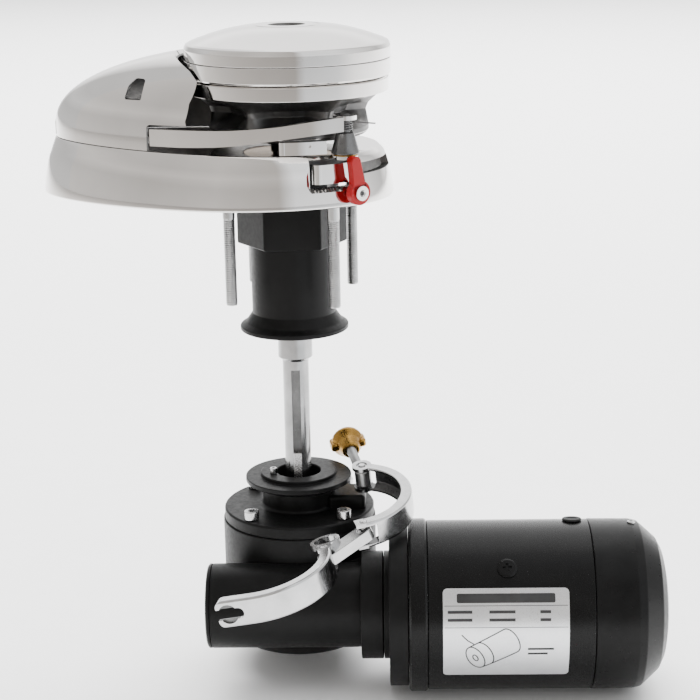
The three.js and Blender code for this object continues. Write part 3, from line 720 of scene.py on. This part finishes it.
def cap_cover():
    """The round cap: a soft shoulder, a shallow crown and a fine ring round the lever socket."""
    crown = []
    for i in range(13):
        r = 64.8 - (64.8 - 23) * i / 12
        crown.append((r, CAP_TOP - 10.2 * ((r - 20) / 44.8) ** 1.75))
    ring = [(22.4, 111.85), (21.8, 111.2), (20.9, 111.2), (20.4, CAP_TOP)]
    socket = [(12.6, CAP_TOP), (10.4, 109.6), (10.4, 93.2), (15.6, 93.2)]
    outline = [(15.6, 90.7), (68.1, 90.7), (68.1, 97.9), (67.0, 100.6), *crown, *ring, *socket]
    radii = [0.3, 0.3, 2.5, 2.0] + [2.0] + [0] * 12 + [0.15] * 4 + [0.4, 0.3, 0.3, 0.3]
    cap = lathe(outline, radius=radii, steps=256, arc_steps=5)
    cut(cap, sector(67.4, 70, -80, -70, 95.2, 95.9, steps=12))
    stand_in(cap, "cap_cover")
    # painted shade: the lever socket's inside takes the dark inside material in place of the shade in the
    # recess
    paint_faces(cap, ROUGH_INSIDE_AND_PAINTED_SHADE, lambda c, n: math.hypot(c.x, c.y) < 12.2 and c.z > 94)


main_shaft()
drive_key()
gypsy()
clutch_nut()
cap_cover()

# ---- pawl, lever and control arm
AT_POST = move(*POST)
ON_BASE_SIDE = turn_z(LEVER_ANGLE) @ move(0, 0, LEVER_Z) @ ALONG_X


def rounded_bar(inner, outer, start, end, low, high, nose, edge=0.9):
    """A curved bar about Z with a round nose at one end."""
    body = sector(inner, outer, start, end, low, high)
    tip = rod((outer - inner) / 2 + 0.2, low, high, 48)
    join(body, place(tip, move(*polar((inner + outer) / 2, nose))))
    return bevel(body, edge, 4, 35)


def pawl_lever():
    eye, tip, tip_z = 8, 4, 20
    outline = [polar(eye, 125 + 290 * i / 48) for i in range(49)]
    outline += [(x, tip_z + z) for x, z in (polar(tip, 180 * i / 20) for i in range(21))]
    lever = prism(outline, 0, 5.5)
    cut(lever, rod(2.4, -2, 8, 32))
    bevel(lever, 1.1, 4, 35)
    stand_in(place(lever, ON_BASE_SIDE @ move(0, 0, 72) @ turn_z(90 + LEVER_LEAN)), "pawl_lever")


def lever_screw():
    outline = [(0, 58), (2, 58), (2, 78), (4.8, 78), (4.8, 79.4), (2.3, 79.4), (1.7, 78.6), (0, 78.6)]
    turned("lever_screw", outline, 0.3, 64, ON_BASE_SIDE, CHROME)
    # painted shade: a dark hexagon in the screw head's shallow recess stands in for the shade of its socket
    socket = lathe([(0, 78.61), (1.75, 78.61), (1.6, 78.9), (0, 78.8)], 0.05, steps=6)
    finish(place(socket, ON_BASE_SIDE), "lever_screw_socket_shade", "pawl_lever", INK_AND_PAINTED_SHADE)


def pawl_plate():
    plate = rounded_bar(59, 65, -82, -57, 35.2, 43.4, nose=-82, edge=1.2)
    cut(plate, place(rod(1, 0, 6, 24), turn_z(-67) @ move(62.5, 0, 40.5) @ ALONG_X))
    stand_in(plate, "pawl_plate")


def arm_post():
    outline = [(0, 34.2), (9.2, 34.2), (9, 35.4), (5.8, 47.6), (3, 47.6), (3, 59.5), (0, 59.5)]
    turned("arm_post", outline, at=AT_POST, material=DARK_STEEL_AND_PAINTED_SHADE)
    turned("arm_washer", [(3.4, 33.3), (8.2, 33.3), (8.2, 33.9), (3.4, 33.9)], 0.2, at=AT_POST)


def wire(points, radius):
    """A round wire through the points, made into a mesh with capped ends."""
    curve = bpy.data.curves.new("wire", "CURVE")
    curve.dimensions = "3D"
    curve.bevel_depth = radius * MM
    curve.bevel_resolution = 3
    curve.use_fill_caps = True
    spline = curve.splines.new("POLY")
    spline.points.add(len(points) - 1)
    for slot, point in zip(spline.points, points):
        slot.co = (*[v * MM for v in point], 1)
    holder = add_object("wire", curve)
    obj = add_object("piece", evaluated_mesh(holder))
    bpy.data.objects.remove(holder)
    return obj


def arm_spring():
    coils, per_coil, coil_radius, pitch = 4, 40, 4.6, 1.5
    points = []
    for i in range(coils * per_coil + 1):
        x, y = polar(coil_radius, 360 * i / per_coil)
        points.append((POST[0] + x, POST[1] + y, 48.4 + pitch * i / per_coil))
    last = Vector(points[-1])
    leg_end = Vector((POST[0] + 20, POST[1] - 1, 53.6))
    points += [tuple(last.lerp(leg_end, share)) for share in (0.2, 0.5, 0.8, 1.0)]
    stand_in(wire(points, 0.5), "arm_spring", DARK_STEEL_AND_PAINTED_SHADE, angle=60)


def control_arm():
    """A flat bar that curves round the gypsy and climbs to its eye on the post."""
    plan = [(-79, -55.5, 39.8, 50.6), (-52, -62.6, 40, 51), (-24, -66, 41.5, 51.5), (4, -65, 45, 53.5),
            (26, -60.2, 47.5, 56.4), (46, -53.4, 49.6, 58.6)]
    half, steps = 2.75, 72
    rings = []
    for i in range(steps + 1):
        x, y, low, high = spline_point(plan, i / steps)
        ahead = spline_point(plan, min(1, (i + 0.5) / steps))
        behind = spline_point(plan, max(0, (i - 0.5) / steps))
        along = Vector((ahead[0] - behind[0], ahead[1] - behind[1])).normalized()
        side = Vector((-along.y, along.x)) * half
        inner, outer = (x - side.x, y - side.y), (x + side.x, y + side.y)
        rings.append([(*inner, low), (*outer, low), (*outer, high), (*inner, high)])
    blade = loft(rings)
    join(blade, place(rod(7.6, 55.9, 58.6), AT_POST))
    cut(blade, place(rod(3.4, 40, 60, 48), AT_POST))
    bevel(blade, 0.9, 4, 35)
    stand_in(blade, "control_arm")


def spline_point(points, share):
    """A point of the smooth curve through the points, at a share of the way along it."""
    spans = len(points) - 1
    index = min(spans - 1, int(share * spans))
    t = share * spans - index
    p1, p2 = Vector(points[index]), Vector(points[index + 1])
    p0 = Vector(points[index - 1]) if index > 0 else 2 * p1 - p2
    p3 = Vector(points[index + 2]) if index + 2 < len(points) else 2 * p2 - p1
    return 0.5 * (2 * p1 + (p2 - p0) * t + (2 * p0 - 5 * p1 + 4 * p2 - p3) * t ** 2
                  + (3 * p1 - p0 - 3 * p2 + p3) * t ** 3)


stand_in(rounded_bar(56, 64, -61, -38, 15.5, 28, nose=-61), "pawl_slider")
pawl_lever()
lever_screw()
pawl_plate()
arm_post()
arm_spring()
control_arm()


# ---- gearbox
def gearbox_cover():
    body = lathe([
        (15.5, -229), (52.5, -229), (52.5, -222), (51.5, -221), (25.4, -221), (25.4, -206), (33, -205),
        (37, -202.8), (37, -199.6), (26.4, -199.6), (26.4, -197), (15.5, -197)],
        [0.4, 0.4, 1.0, 1.0, 2.5, 3, 1.5, 0.6, 0.6, 0.5, 0.7, 0.9], steps=160)
    rib = bevel(block(20, 47, -15, 13, -224, -211.5), 3, 5)
    hub = lathe([(30, -247), (36, -247), (36, -228), (30, -228)], 0.4)
    merge(body, rib, hub)
    stand_in(place(body, GEAR), "gearbox_cover")


def socket_screw(height, head, shank, low, top):
    """A cap screw along Z with a hexagon socket; top is the head's upper face."""
    outline = [(0, low), (shank, low), (shank, top - height), (head, top - height), (head, top), (0, top)]
    screw = lathe(outline, 0.45, steps=64)
    return cut(screw, rod(head * 0.5, top - height * 0.6, top + 1, 6))


def cover_screws():
    for number, angle in enumerate(SCREW_ANGLES, start=1):
        screw = socket_screw(5.9, 5, 3, -238, -214.8)
        stand_in(place(screw, GEAR @ move(*polar(45.6, angle))), f"cover_screw_{number}", STEEL)


def gearbox_housing():
    """The cast body: an upright drum crossed by the worm's tube, hollow for the wheel and the worm."""
    body = lathe([(0, -324), (30, -324), (47, -316), (53.5, -308), (53.5, -229.3), (0, -229.3)],
                 [0, 2, 6, 4, 0.8, 0], steps=128)
    across = move(0, WORM_Y, WORM_Z) @ ALONG_X
    tube = lathe([(0, -57.5), (28.7, -57.5), (28.7, 59), (0, 59)], 0.6)
    flange = lathe([(0, 44), (36.5, 44), (36.5, 59), (0, 59)], 0.8)
    saddle = bevel(block(-28, 45, -45, -10, -300, -250), 3, 4)
    join(body, place(tube, across), place(flange, across), saddle)
    wheel_space = rod(48, -309, -220, 96)
    bearing_space = rod(31, -319, -300, 96)
    worm_bore = place(rod(22, -70, 70), across)
    way = block(-36, 36, -60, -20, -292, -258)
    cut(body, wheel_space, bearing_space, worm_bore, way)
    stand_in(place(body, GEAR), "gearbox_housing")


def flange_screw():
    """The small bright screw on the boss beside the shaft."""
    screw = socket_screw(4.4, 2.4, 1.2, -199, -192.6)
    finish(place(screw, move(-15.8, -10.0)), "flange_screw", "gearbox_unit", POLISHED)


gearbox_cover()
cover_screws()
gearbox_housing()
turned("worm_end_cover", [(0, -60.5), (27.5, -60.5), (28.7, -59.5), (28.7, -57.8), (0, -57.8)], 0.4,
       at=MOTOR @ ALONG_X)
flange_screw()


# ---- motor, its axis on X of MOTOR
def turned_on_motor(node, outline, radius=0.6):
    turned(node, outline, radius, 192, MOTOR @ ALONG_X)


def motor_shells():
    turned_on_motor("motor_adapter", [
        (17, 59.3), (36.5, 59.3), (36.5, 63), (54.5, 63), (54.5, 75.7), (48, 75.7), (48, 69), (17, 69)])
    turned_on_motor("motor_bell", [
        (12, 76), (56.8, 76), (58.3, 77.5), (58.3, 86.7), (57.3, 88.2), (53, 88.2), (53, 81), (12, 81)])
    turned_on_motor("motor_can", [(53, 88.5), (57, 88.5), (57, 197.5), (53, 197.5)])
    turned_on_motor("motor_end_cap", [
        (0, 244.5), (34, 242.5), (42, 238), (50.5, 229), (53, 222), (53, 197.8), (57.3, 197.8), (57, 226),
        (55.8, 231), (45, 243), (38, 246.5), (30, 248.3), (0, 249)],
        [0, 3, 4, 3, 4, 0.5, 0.9, 6, 3, 5, 6, 10, 0])


def motor_fittings():
    """The cross-headed pole screw, the round cable grommet and the small screw in the end cap."""
    pole = lathe([(0, 57.3), (6.6, 57.3), (6.6, 57.9), (5.4, 58.5), (0, 58.7)],
                 [0, 0.2, 0.3, 1, 0], steps=64)
    for turn in (5, 95):
        slot = block(-3, 3, -0.9, 0.9, 57.6, 62)
        cut(pole, place(slot, turn_z(turn)))
    stand_in(place(pole, MOTOR @ turn_x(43.3) @ move(140.5, 0)), "pole_screw", PAINT_BLACK)
    turned("cable_grommet", [(0, 57.3), (6.5, 57.3), (6.5, 58.8), (3.6, 58.8), (3.2, 58.2), (0, 58.2)],
           [0, 0.2, 0.8, 0.2, 0.2, 0], 64, MOTOR @ turn_x(-8.6) @ move(186.8, 0))
    screw = socket_screw(1.6, 2.7, 1.3, 54.5, 58.1)
    place(screw, MOTOR @ turn_x(-2.4) @ move(226, 0))
    finish(screw, "cap_screw", "gearbox_unit", POLISHED)


PLATE_LOW, PLATE_HIGH = 98, 180  # along the motor
PLATE_TOP, PLATE_FOOT = 33.2, -29.7  # degrees above and below the motor's front
PRINT_RADIUS = 57.9  # the plate's face
DEGREES_PER_MM = math.degrees(1 / PRINT_RADIUS)


def on_can(along, angle, radius):
    """A point over the can: a distance along it and an angle up from its front, in degrees."""
    front, up = polar(radius, angle)
    return (along, -front, up)


def can_patch(low, high, start, end, radius, thickness, corner=0.0, steps=48):
    """A thin curved sheet on the can, with rounded corners."""
    arc = math.radians(abs(end - start)) * radius
    vertices, faces = [], []
    for level in (radius, radius + thickness):
        for j in range(steps + 1):
            # the rows crowd towards both ends, where the corners turn
            share = 0.5 - 0.5 * math.cos(math.pi * j / steps)
            edge = arc * min(share, 1 - share)
            inset = corner - math.sqrt(max(0.0, corner ** 2 - max(0.0, corner - edge) ** 2))
            angle = start + (end - start) * share
            vertices += [on_can(low + inset, angle, level), on_can(high - inset, angle, level)]
    offset = 2 * (steps + 1)
    for j in range(steps):
        a, b, c, d = 2 * j, 2 * j + 1, 2 * j + 3, 2 * j + 2
        faces += [(a, b, c, d), (a + offset, d + offset, c + offset, b + offset),
                  (a, d, d + offset, a + offset), (b, b + offset, c + offset, c)]
    for j in (0, steps):
        a, b = 2 * j, 2 * j + 1
        faces.append((a, b, b + offset, a + offset))
    return mesh_object(vertices, faces)


def nameplate():
    plate = can_patch(PLATE_LOW, PLATE_HIGH, PLATE_FOOT, PLATE_TOP, 57.3, 0.6, corner=3)
    stand_in(place(plate, MOTOR), "nameplate")
    print_on_plate()


def printed(name, parts):
    finish(place(merge(*parts), MOTOR), name, "gearbox_unit", INK_AND_PAINTED_SHADE)


def print_on_plate():
    """A dark header bar, rules and short bars in place of text."""
    ink = []

    def patch(x0, x1, low, high, corner=0.0):
        """A printed patch; sizes run from the plate's lower left corner in millimetres."""
        start, end = PLATE_FOOT + low * DEGREES_PER_MM, PLATE_FOOT + high * DEGREES_PER_MM
        ink.append(can_patch(PLATE_LOW + x0, PLATE_LOW + x1, start, end, PRINT_RADIUS + 0.01, 0.05,
                             corner, steps=8))

    wide, tall = PLATE_HIGH - PLATE_LOW, math.radians(PLATE_TOP - PLATE_FOOT) * PRINT_RADIUS
    patch(9, wide - 9, tall - 9.6, tall - 3.4, 1)
    for level in (tall - 11.4, tall - 25.6):
        patch(1, wide - 1, level - 0.2, level + 0.2)
    for level in (tall - 16.4, tall - 21.6):
        for start, end in ((3, 19), (30, 47), (63, 70)):
            patch(start, end, level, level + 2)
    for length, level in ((17, 22), (13, 18.4)):
        patch(55, 55 + length, level, level + 1.5)
    printed("nameplate_print", ink)
    sketch_motor()


def stroke(points):
    """A printed line through points given from the plate's lower left corner."""
    way = [Vector(points[0])]
    for a, b in zip(map(Vector, points), map(Vector, points[1:])):
        parts = max(1, round((b - a).length / 1.5))
        way += [a.lerp(b, (k + 1) / parts) for k in range(parts)]
    vertices, faces = [], []
    for k, point in enumerate(way):
        heading = way[min(k + 1, len(way) - 1)] - way[max(k - 1, 0)]
        aside = Vector((-heading.y, heading.x)).normalized() * 0.4
        for x, y in (point + aside, point - aside):
            vertices.append(on_can(PLATE_LOW + x, PLATE_FOOT + y * DEGREES_PER_MM, PRINT_RADIUS + 0.1))
        if k:
            faces.append((2 * k - 2, 2 * k - 1, 2 * k + 1, 2 * k))
    return mesh_object(vertices, faces)


def sketch_motor():
    """The little outline drawing: a leaning cylinder with a round end and two leads."""
    lean = 29
    foot, along, side = Vector((21, 16)), Vector(polar(26, lean)), Vector(polar(9.2, lean + 90))
    c, s = polar(1, lean)

    def oval(centre, wide=5.0, tall=9.2, start=-90, end=90):
        points = []
        for k in range(25):
            x, y = polar(1, start + (end - start) * k / 24)
            x, y = x * wide, y * tall
            points.append((centre.x + x * c - y * s, centre.y + x * s + y * c))
        return stroke(points)

    printed("nameplate_drawing", [
        oval(foot, start=0, end=360), oval(foot + along), stroke((foot + side, foot + along + side)),
        stroke((foot - side, foot + along - side)), oval(foot + along * 0.25),
        oval(foot, 1.4, 2.6, 0, 360), stroke(((12, 33), (16, 29), (20, 26.5)))])


motor_shells()
motor_fittings()
nameplate()


# ---- band clamp
BAND_RADIUS, BAND_HALF, LIP_RADIUS = 43, 9.25, 35.5
PIN_RADIUS = 39.3
RIGHT_SPAN, LEFT_SPAN, LEFT_TAIL = 76, 118, 24
CLAMP = turn_z(CLAMP_YAW)


def frame_of(origin, normal, towards):
    z = Vector(normal).normalized()
    x = (Vector(towards) - z * Vector(towards).dot(z)).normalized()
    y = z.cross(x)
    return Matrix.Translation(origin) @ Matrix((x, y, z)).transposed().to_4x4()


RIGHT_JAW = frame_of((35.6, -48.9, -206.4), (-0.091, -0.174, 0.981), (1, 0, 0))
LEFT_JAW = frame_of((-16.7, -107.8, -234.5), (-0.247, -0.026, 0.969), (0.942, 0.23, 0.246))
BAND_SECTION = fillet([
    (LIP_RADIUS, -BAND_HALF), (BAND_RADIUS, -BAND_HALF), (BAND_RADIUS, BAND_HALF), (LIP_RADIUS, BAND_HALF),
    (LIP_RADIUS, BAND_HALF - 2), (BAND_RADIUS - 2.6, BAND_HALF - 5.5), (BAND_RADIUS - 2.6, 5.5 - BAND_HALF),
    (LIP_RADIUS, 2 - BAND_HALF)], [0.6, 1.6, 1.6, 0.6, 0.6, 1, 1, 0.6], 4, closed=True)


def pin_place(jaw, angle):
    return jaw @ Vector((*polar(PIN_RADIUS, angle), 0))


LINK_FROM = pin_place(RIGHT_JAW, -RIGHT_SPAN)
LINK_TO = pin_place(LEFT_JAW, 0)
BOLT_AT = pin_place(RIGHT_JAW, RIGHT_SPAN)
BOLT_FRAME = frame_of(BOLT_AT, RIGHT_JAW.col[2].xyz, (-8.5, 47, 0))


def band(start, end, tail=0.0, steps=64):
    """The band's section swept round its arc, then straight on for the length of its tail."""
    rings = []
    if tail:
        straight = turn_z(start)
        for share in (1, 0.75, 0.5, 0.25):
            rings.append([tuple(straight @ Vector((r, -tail * share, z))) for r, z in BAND_SECTION])
    for i in range(steps + 1):
        angle = start + (end - start) * i / steps
        rings.append([(*polar(r, angle), z) for r, z in BAND_SECTION])
    return loft(rings)


def pin_rod(radius, low, high, angle):
    """A cylinder along a pin of the band."""
    return place(rod(radius, low, high, 48), move(*polar(PIN_RADIUS, angle)))


def across_band(radius, low, high, at, steps=48):
    """A cylinder that stands out from the band's middle."""
    return place(lathe([(0, low), (radius, low), (radius, high), (0, high)], 0, steps), at @ ALONG_X)


def fork_end(body, angle, ear):
    """Gives the band's end its ear, opens the fork in it and drills it for the pin."""
    join(body, ear)
    cut(body, pin_rod(9, -6.9, 6.9, angle), pin_rod(2.5, -20, 20, angle))


def paint_channel_shade(body, jaw, start):
    """Paints shade: darkens the inside of the band's channel, round the arc and along the tail before its
    start.
    """
    to_local = (CLAMP @ jaw).inverted()

    def inside(centre, _):
        point = to_local @ centre
        tail = turn_z(-start) @ point
        reach = tail.x if tail.y < 0 and tail.x > 20 else math.hypot(point.x, point.y)
        return reach < BAND_RADIUS - 1.5 and abs(point.z) < BAND_HALF - 1.6

    paint_faces(body, DARK_STEEL_AND_PAINTED_SHADE, inside)


def jaw_right():
    body = band(-RIGHT_SPAN, RIGHT_SPAN)
    square = block(LIP_RADIUS, BAND_RADIUS, -5.6, 1, -BAND_HALF, BAND_HALF)
    fork_end(body, -RIGHT_SPAN, place(square, turn_z(-RIGHT_SPAN)))
    fork_end(body, RIGHT_SPAN, pin_rod(6.8, -BAND_HALF, BAND_HALF, RIGHT_SPAN))
    cut(body, pin_rod(3.9, BAND_HALF - 0.8, BAND_HALF + 5, RIGHT_SPAN))
    bevel(body, 0.5, 3, 40)
    stand_in(place(body, CLAMP @ RIGHT_JAW), "clamp_jaw_right", POLISHED)
    paint_channel_shade(body, RIGHT_JAW, -RIGHT_SPAN)


def jaw_left():
    body = band(-LEFT_SPAN, 0, tail=LEFT_TAIL)
    fork_end(body, 0, pin_rod(5.5, -BAND_HALF, BAND_HALF, 0))
    loop = prism([(x * 10, y * 8) for x, y in circle(1, 64)], BAND_HALF - 3.6, BAND_HALF)
    cut(loop, prism([(x * 7.4, y * 5.4) for x, y in circle(1, 48)], 0, 20))
    join(body, place(loop, move(PIN_RADIUS + 3, 10, 0)))
    tail = turn_z(-LEFT_SPAN)
    slit = block(20, 60, -LEFT_TAIL - 5, -9, -3.7, 3.7)
    slit_end = across_band(3.7, 20, 60, tail @ move(0, -9))
    trim = block(20, 60, -LEFT_TAIL - 2, 5 - LEFT_TAIL, -12, 12)
    for z in (-4.4, 4.4):
        cut(trim, across_band(4.8, 10, 70, move(0, 5 - LEFT_TAIL, z)))
    seat = across_band(6.6, 41.4, 60, tail @ move(0, -16), 64)
    cut(body, place(slit, tail), slit_end, place(trim, tail), seat)
    bevel(body, 0.5, 3, 40)
    stand_in(place(body, CLAMP @ LEFT_JAW), "clamp_jaw_left", POLISHED)
    paint_channel_shade(body, LEFT_JAW, -LEFT_SPAN)


def clamp_pins():
    for node, point, jaw in (("link_pin_right", LINK_FROM, RIGHT_JAW), ("link_pin_left", LINK_TO, LEFT_JAW),
                             ("bolt_pin", BOLT_AT, RIGHT_JAW)):
        at = CLAMP @ frame_of(point, jaw.col[2].xyz, (1, 0, 0))
        turned(node, [(0, -9.6), (2.2, -9.6), (2.2, 9.6), (0, 9.6)], 0.5, 48, at)


def clamp_link():
    way = LINK_TO - LINK_FROM
    length = way.length
    tilt = RIGHT_JAW.col[2].xyz + LEFT_JAW.col[2].xyz
    outline = [polar(5.4, 90 + 180 * i / 24) for i in range(25)]
    outline += [(length - x, -y) for x, y in outline]
    link = prism(outline, -4, 4)
    for x in (0, length):
        cut(link, place(rod(3.9, -20, 20, 32), move(x, 0)))
    bevel(link, 0.7, 3, 40)
    square_to_way = tilt - way * (tilt.dot(way) / way.length_squared)
    place(link, CLAMP @ frame_of(LINK_FROM, square_to_way, way))
    stand_in(link, "clamp_link", POLISHED)


def swing_bolt():
    eye = rod(5.6, -5.8, 5.8, 48)
    cut(eye, rod(2.5, -20, 20, 32))
    bevel(eye, 0.8, 3, 40)
    shank = thread(3.4, 0.4, 1.25, 4.5, 58)
    place(shank, ALONG_X)
    place(merge(eye, shank), CLAMP @ BOLT_FRAME)
    stand_in(eye, "swing_bolt", THREAD_STEEL, angle=60)


def wing_nut():
    hub = lathe([(3.7, -8), (6, -8), (8.8, 0), (11.6, 5), (11.6, 8.4), (3.7, 8.4)],
                [0.4, 1.5, 6, 3, 1.6, 0.6])
    place(hub, ALONG_X)
    outline = fillet([(-1, 7), (11, 7), (11, 12.8), (-1, 12.8)], 2.6, 6, closed=True)
    wings = [place(bevel(prism(outline, -3, 3), 1.6, 4, 40), turn_x(side)) for side in (180, 0)]
    nut = merge(hub, *wings)
    stand_in(place(nut, CLAMP @ BOLT_FRAME @ move(48, 0)), "wing_nut")


jaw_right()
jaw_left()
clamp_pins()
clamp_link()
swing_bolt()
wing_nut()


# ---- camera, light and floor
PITCH = math.radians(15.335)  # how far the photograph looks down
HEADING = math.radians(10)
ROLL = math.radians(1.08)
CAMERA_PLACE = Vector((241.8, -1154.3, 212.7)) * MM
LENS = 91.2


def camera():
    forward = Vector((-math.sin(HEADING) * math.cos(PITCH), math.cos(HEADING) * math.cos(PITCH),
                      -math.sin(PITCH)))
    right = Vector((math.cos(HEADING), math.sin(HEADING), 0))
    up = right.cross(forward)
    across = right * math.cos(ROLL) - up * math.sin(ROLL)
    upright = right * math.sin(ROLL) + up * math.cos(ROLL)
    data = bpy.data.cameras.new("camera")
    data.lens = LENS
    data.sensor_width = 36
    data.clip_end = 50
    obj = add_object("camera", data)
    axes = Matrix((across, upright, -forward)).transposed()
    obj.matrix_world = Matrix.Translation(CAMERA_PLACE) @ axes.to_4x4()
    bpy.context.scene.camera = obj


# the floor's colour round the object: painted shade in front, painted warm light on the left and cool on the
# right
FLOOR_PAINTED_LIGHT = (
    (0.0, tone(0.42, 0.04)), (0.2, tone(0.30, 0.06)), (0.306, tone(0.26, 0.06)), (0.336, tone(0.55, -0.03)),
    (0.44, tone(0.6, -0.03)), (0.5, tone(0.85)), (0.9, tone(0.85)), (1.0, tone(0.42, 0.04)))
WALL_TONES = (
    (0.0, tone(0.36, 0.03)), (0.12, tone(0.30, 0.04)), (0.21, tone(0.34, 0.04)), (0.306, tone(0.26, 0.05)),
    (0.336, tone(0.60, -0.02)), (0.45, tone(0.66, -0.02)), (0.55, tone(0.5)), (0.62, tone(0.35)),
    (0.70, tone(1.0)), (0.82, tone(1.0)), (0.88, tone(0.35)))
HEIGHT_TONES = (
    (0.0, tone(0.9)), (0.20, tone(0.8)), (0.34, tone(1.0)), (0.5, tone(0.85)), (0.8, tone(0.9)))


def node_math(tree, operation, *values):
    node = tree.nodes.new("ShaderNodeMath")
    node.operation = operation
    for socket, value in zip(node.inputs, values):
        if isinstance(value, (int, float)):
            socket.default_value = value
        else:
            tree.links.new(value, socket)
    return node.outputs[0]


def split(tree, vector):
    """A vector's X, Y and Z."""
    node = tree.nodes.new("ShaderNodeSeparateXYZ")
    tree.links.new(vector, node.inputs["Vector"])
    return node.outputs["X"], node.outputs["Y"], node.outputs["Z"]


def bearing(tree, x, y):
    """The direction round the Z axis as a share of a turn: 0.25 is -Y, 0.5 is +X."""
    return node_math(tree, "MULTIPLY_ADD", node_math(tree, "ARCTAN2", y, x), 1 / TURN, 0.5)


def mixed(tree, first, second, target, share=None):
    """Mixes two colours by a share, or multiplies them where there is none."""
    mix = tree.nodes.new("ShaderNodeMix")
    mix.data_type = "RGBA"
    if share:
        tree.links.new(share, mix.inputs["Factor"])
    else:
        mix.blend_type = "MULTIPLY"
        mix.inputs["Factor"].default_value = 1.0
    tree.links.new(first, mix.inputs["A"])
    tree.links.new(second, mix.inputs["B"])
    tree.links.new(mix.outputs["Result"], target)


def floor_paper_and_painted_light():
    """White paper that turns greyer away from the object, warm in front on the left and cool on the right:
    painted light and shade standing in for how the room lights the floor.
    """
    material, tree, shader, place_in = new_material("floor_paper_and_painted_light")
    x, y, _ = split(tree, place_in)
    reach = node_math(tree, "SQRT", node_math(tree, "MULTIPLY_ADD", x, x, node_math(tree, "MULTIPLY", y, y)))
    share = node_math(tree, "MULTIPLY_ADD", reach, 2.2, -1.1)
    share.node.use_clamp = True
    paper = blend(tree, noise(tree, place_in, 30), tone(0.86), tone(0.88))
    tones = colour_stops(tree, bearing(tree, x, y), FLOOR_PAINTED_LIGHT)
    mixed(tree, paper, tones, shader.inputs["Base Color"], share)
    shader.inputs["Roughness"].default_value = 0.85
    shader.inputs["Specular IOR Level"].default_value = 0.3
    return material


def floor():
    low, _ = cad_bounds
    reach = 9000
    corners = [(-reach, -reach, 0), (reach, -reach, 0), (reach, reach, 0), (-reach, reach, 0)]
    obj = mesh_object(corners, [(0, 1, 2, 3)])
    obj.name = "floor"
    obj.location.z = low.z - 0.0005
    dress(obj, floor_paper_and_painted_light())


def soft_light(name, place_at, target, size, watts):
    data = bpy.data.lights.new(name, "AREA")
    data.shape = "RECTANGLE"
    data.size, data.size_y = size
    data.energy = watts
    obj = add_object(name, data)
    obj.location = place_at
    obj.rotation_euler = (Vector(target) - Vector(place_at)).to_track_quat("-Z", "Y").to_euler()
    obj.visible_glossy = False


def sky():
    """A room in soft light: a warm grey wall in front on the left, a cool bright one on the right."""
    world = bpy.data.worlds.new("studio")
    bpy.context.scene.world = world
    world.use_nodes = True
    tree = world.node_tree
    background = tree.nodes["Background"]
    x, y, z = split(tree, tree.nodes.new("ShaderNodeTexCoord").outputs["Generated"])
    walls = colour_stops(tree, bearing(tree, x, y), WALL_TONES)
    mixed(tree, walls, colour_stops(tree, z, HEIGHT_TONES), background.inputs["Color"])
    background.inputs["Strength"].default_value = 3.0


camera()
floor()
sky()
soft_light("back_wash", (0.0, 3.2, 3.0), (0, 2.4, -0.33), (7.0, 4.6), 950)
soft_light("overhead", (-0.3, 0.1, 2.0), (0, 0, -0.1), (3.2, 2.2), 50)
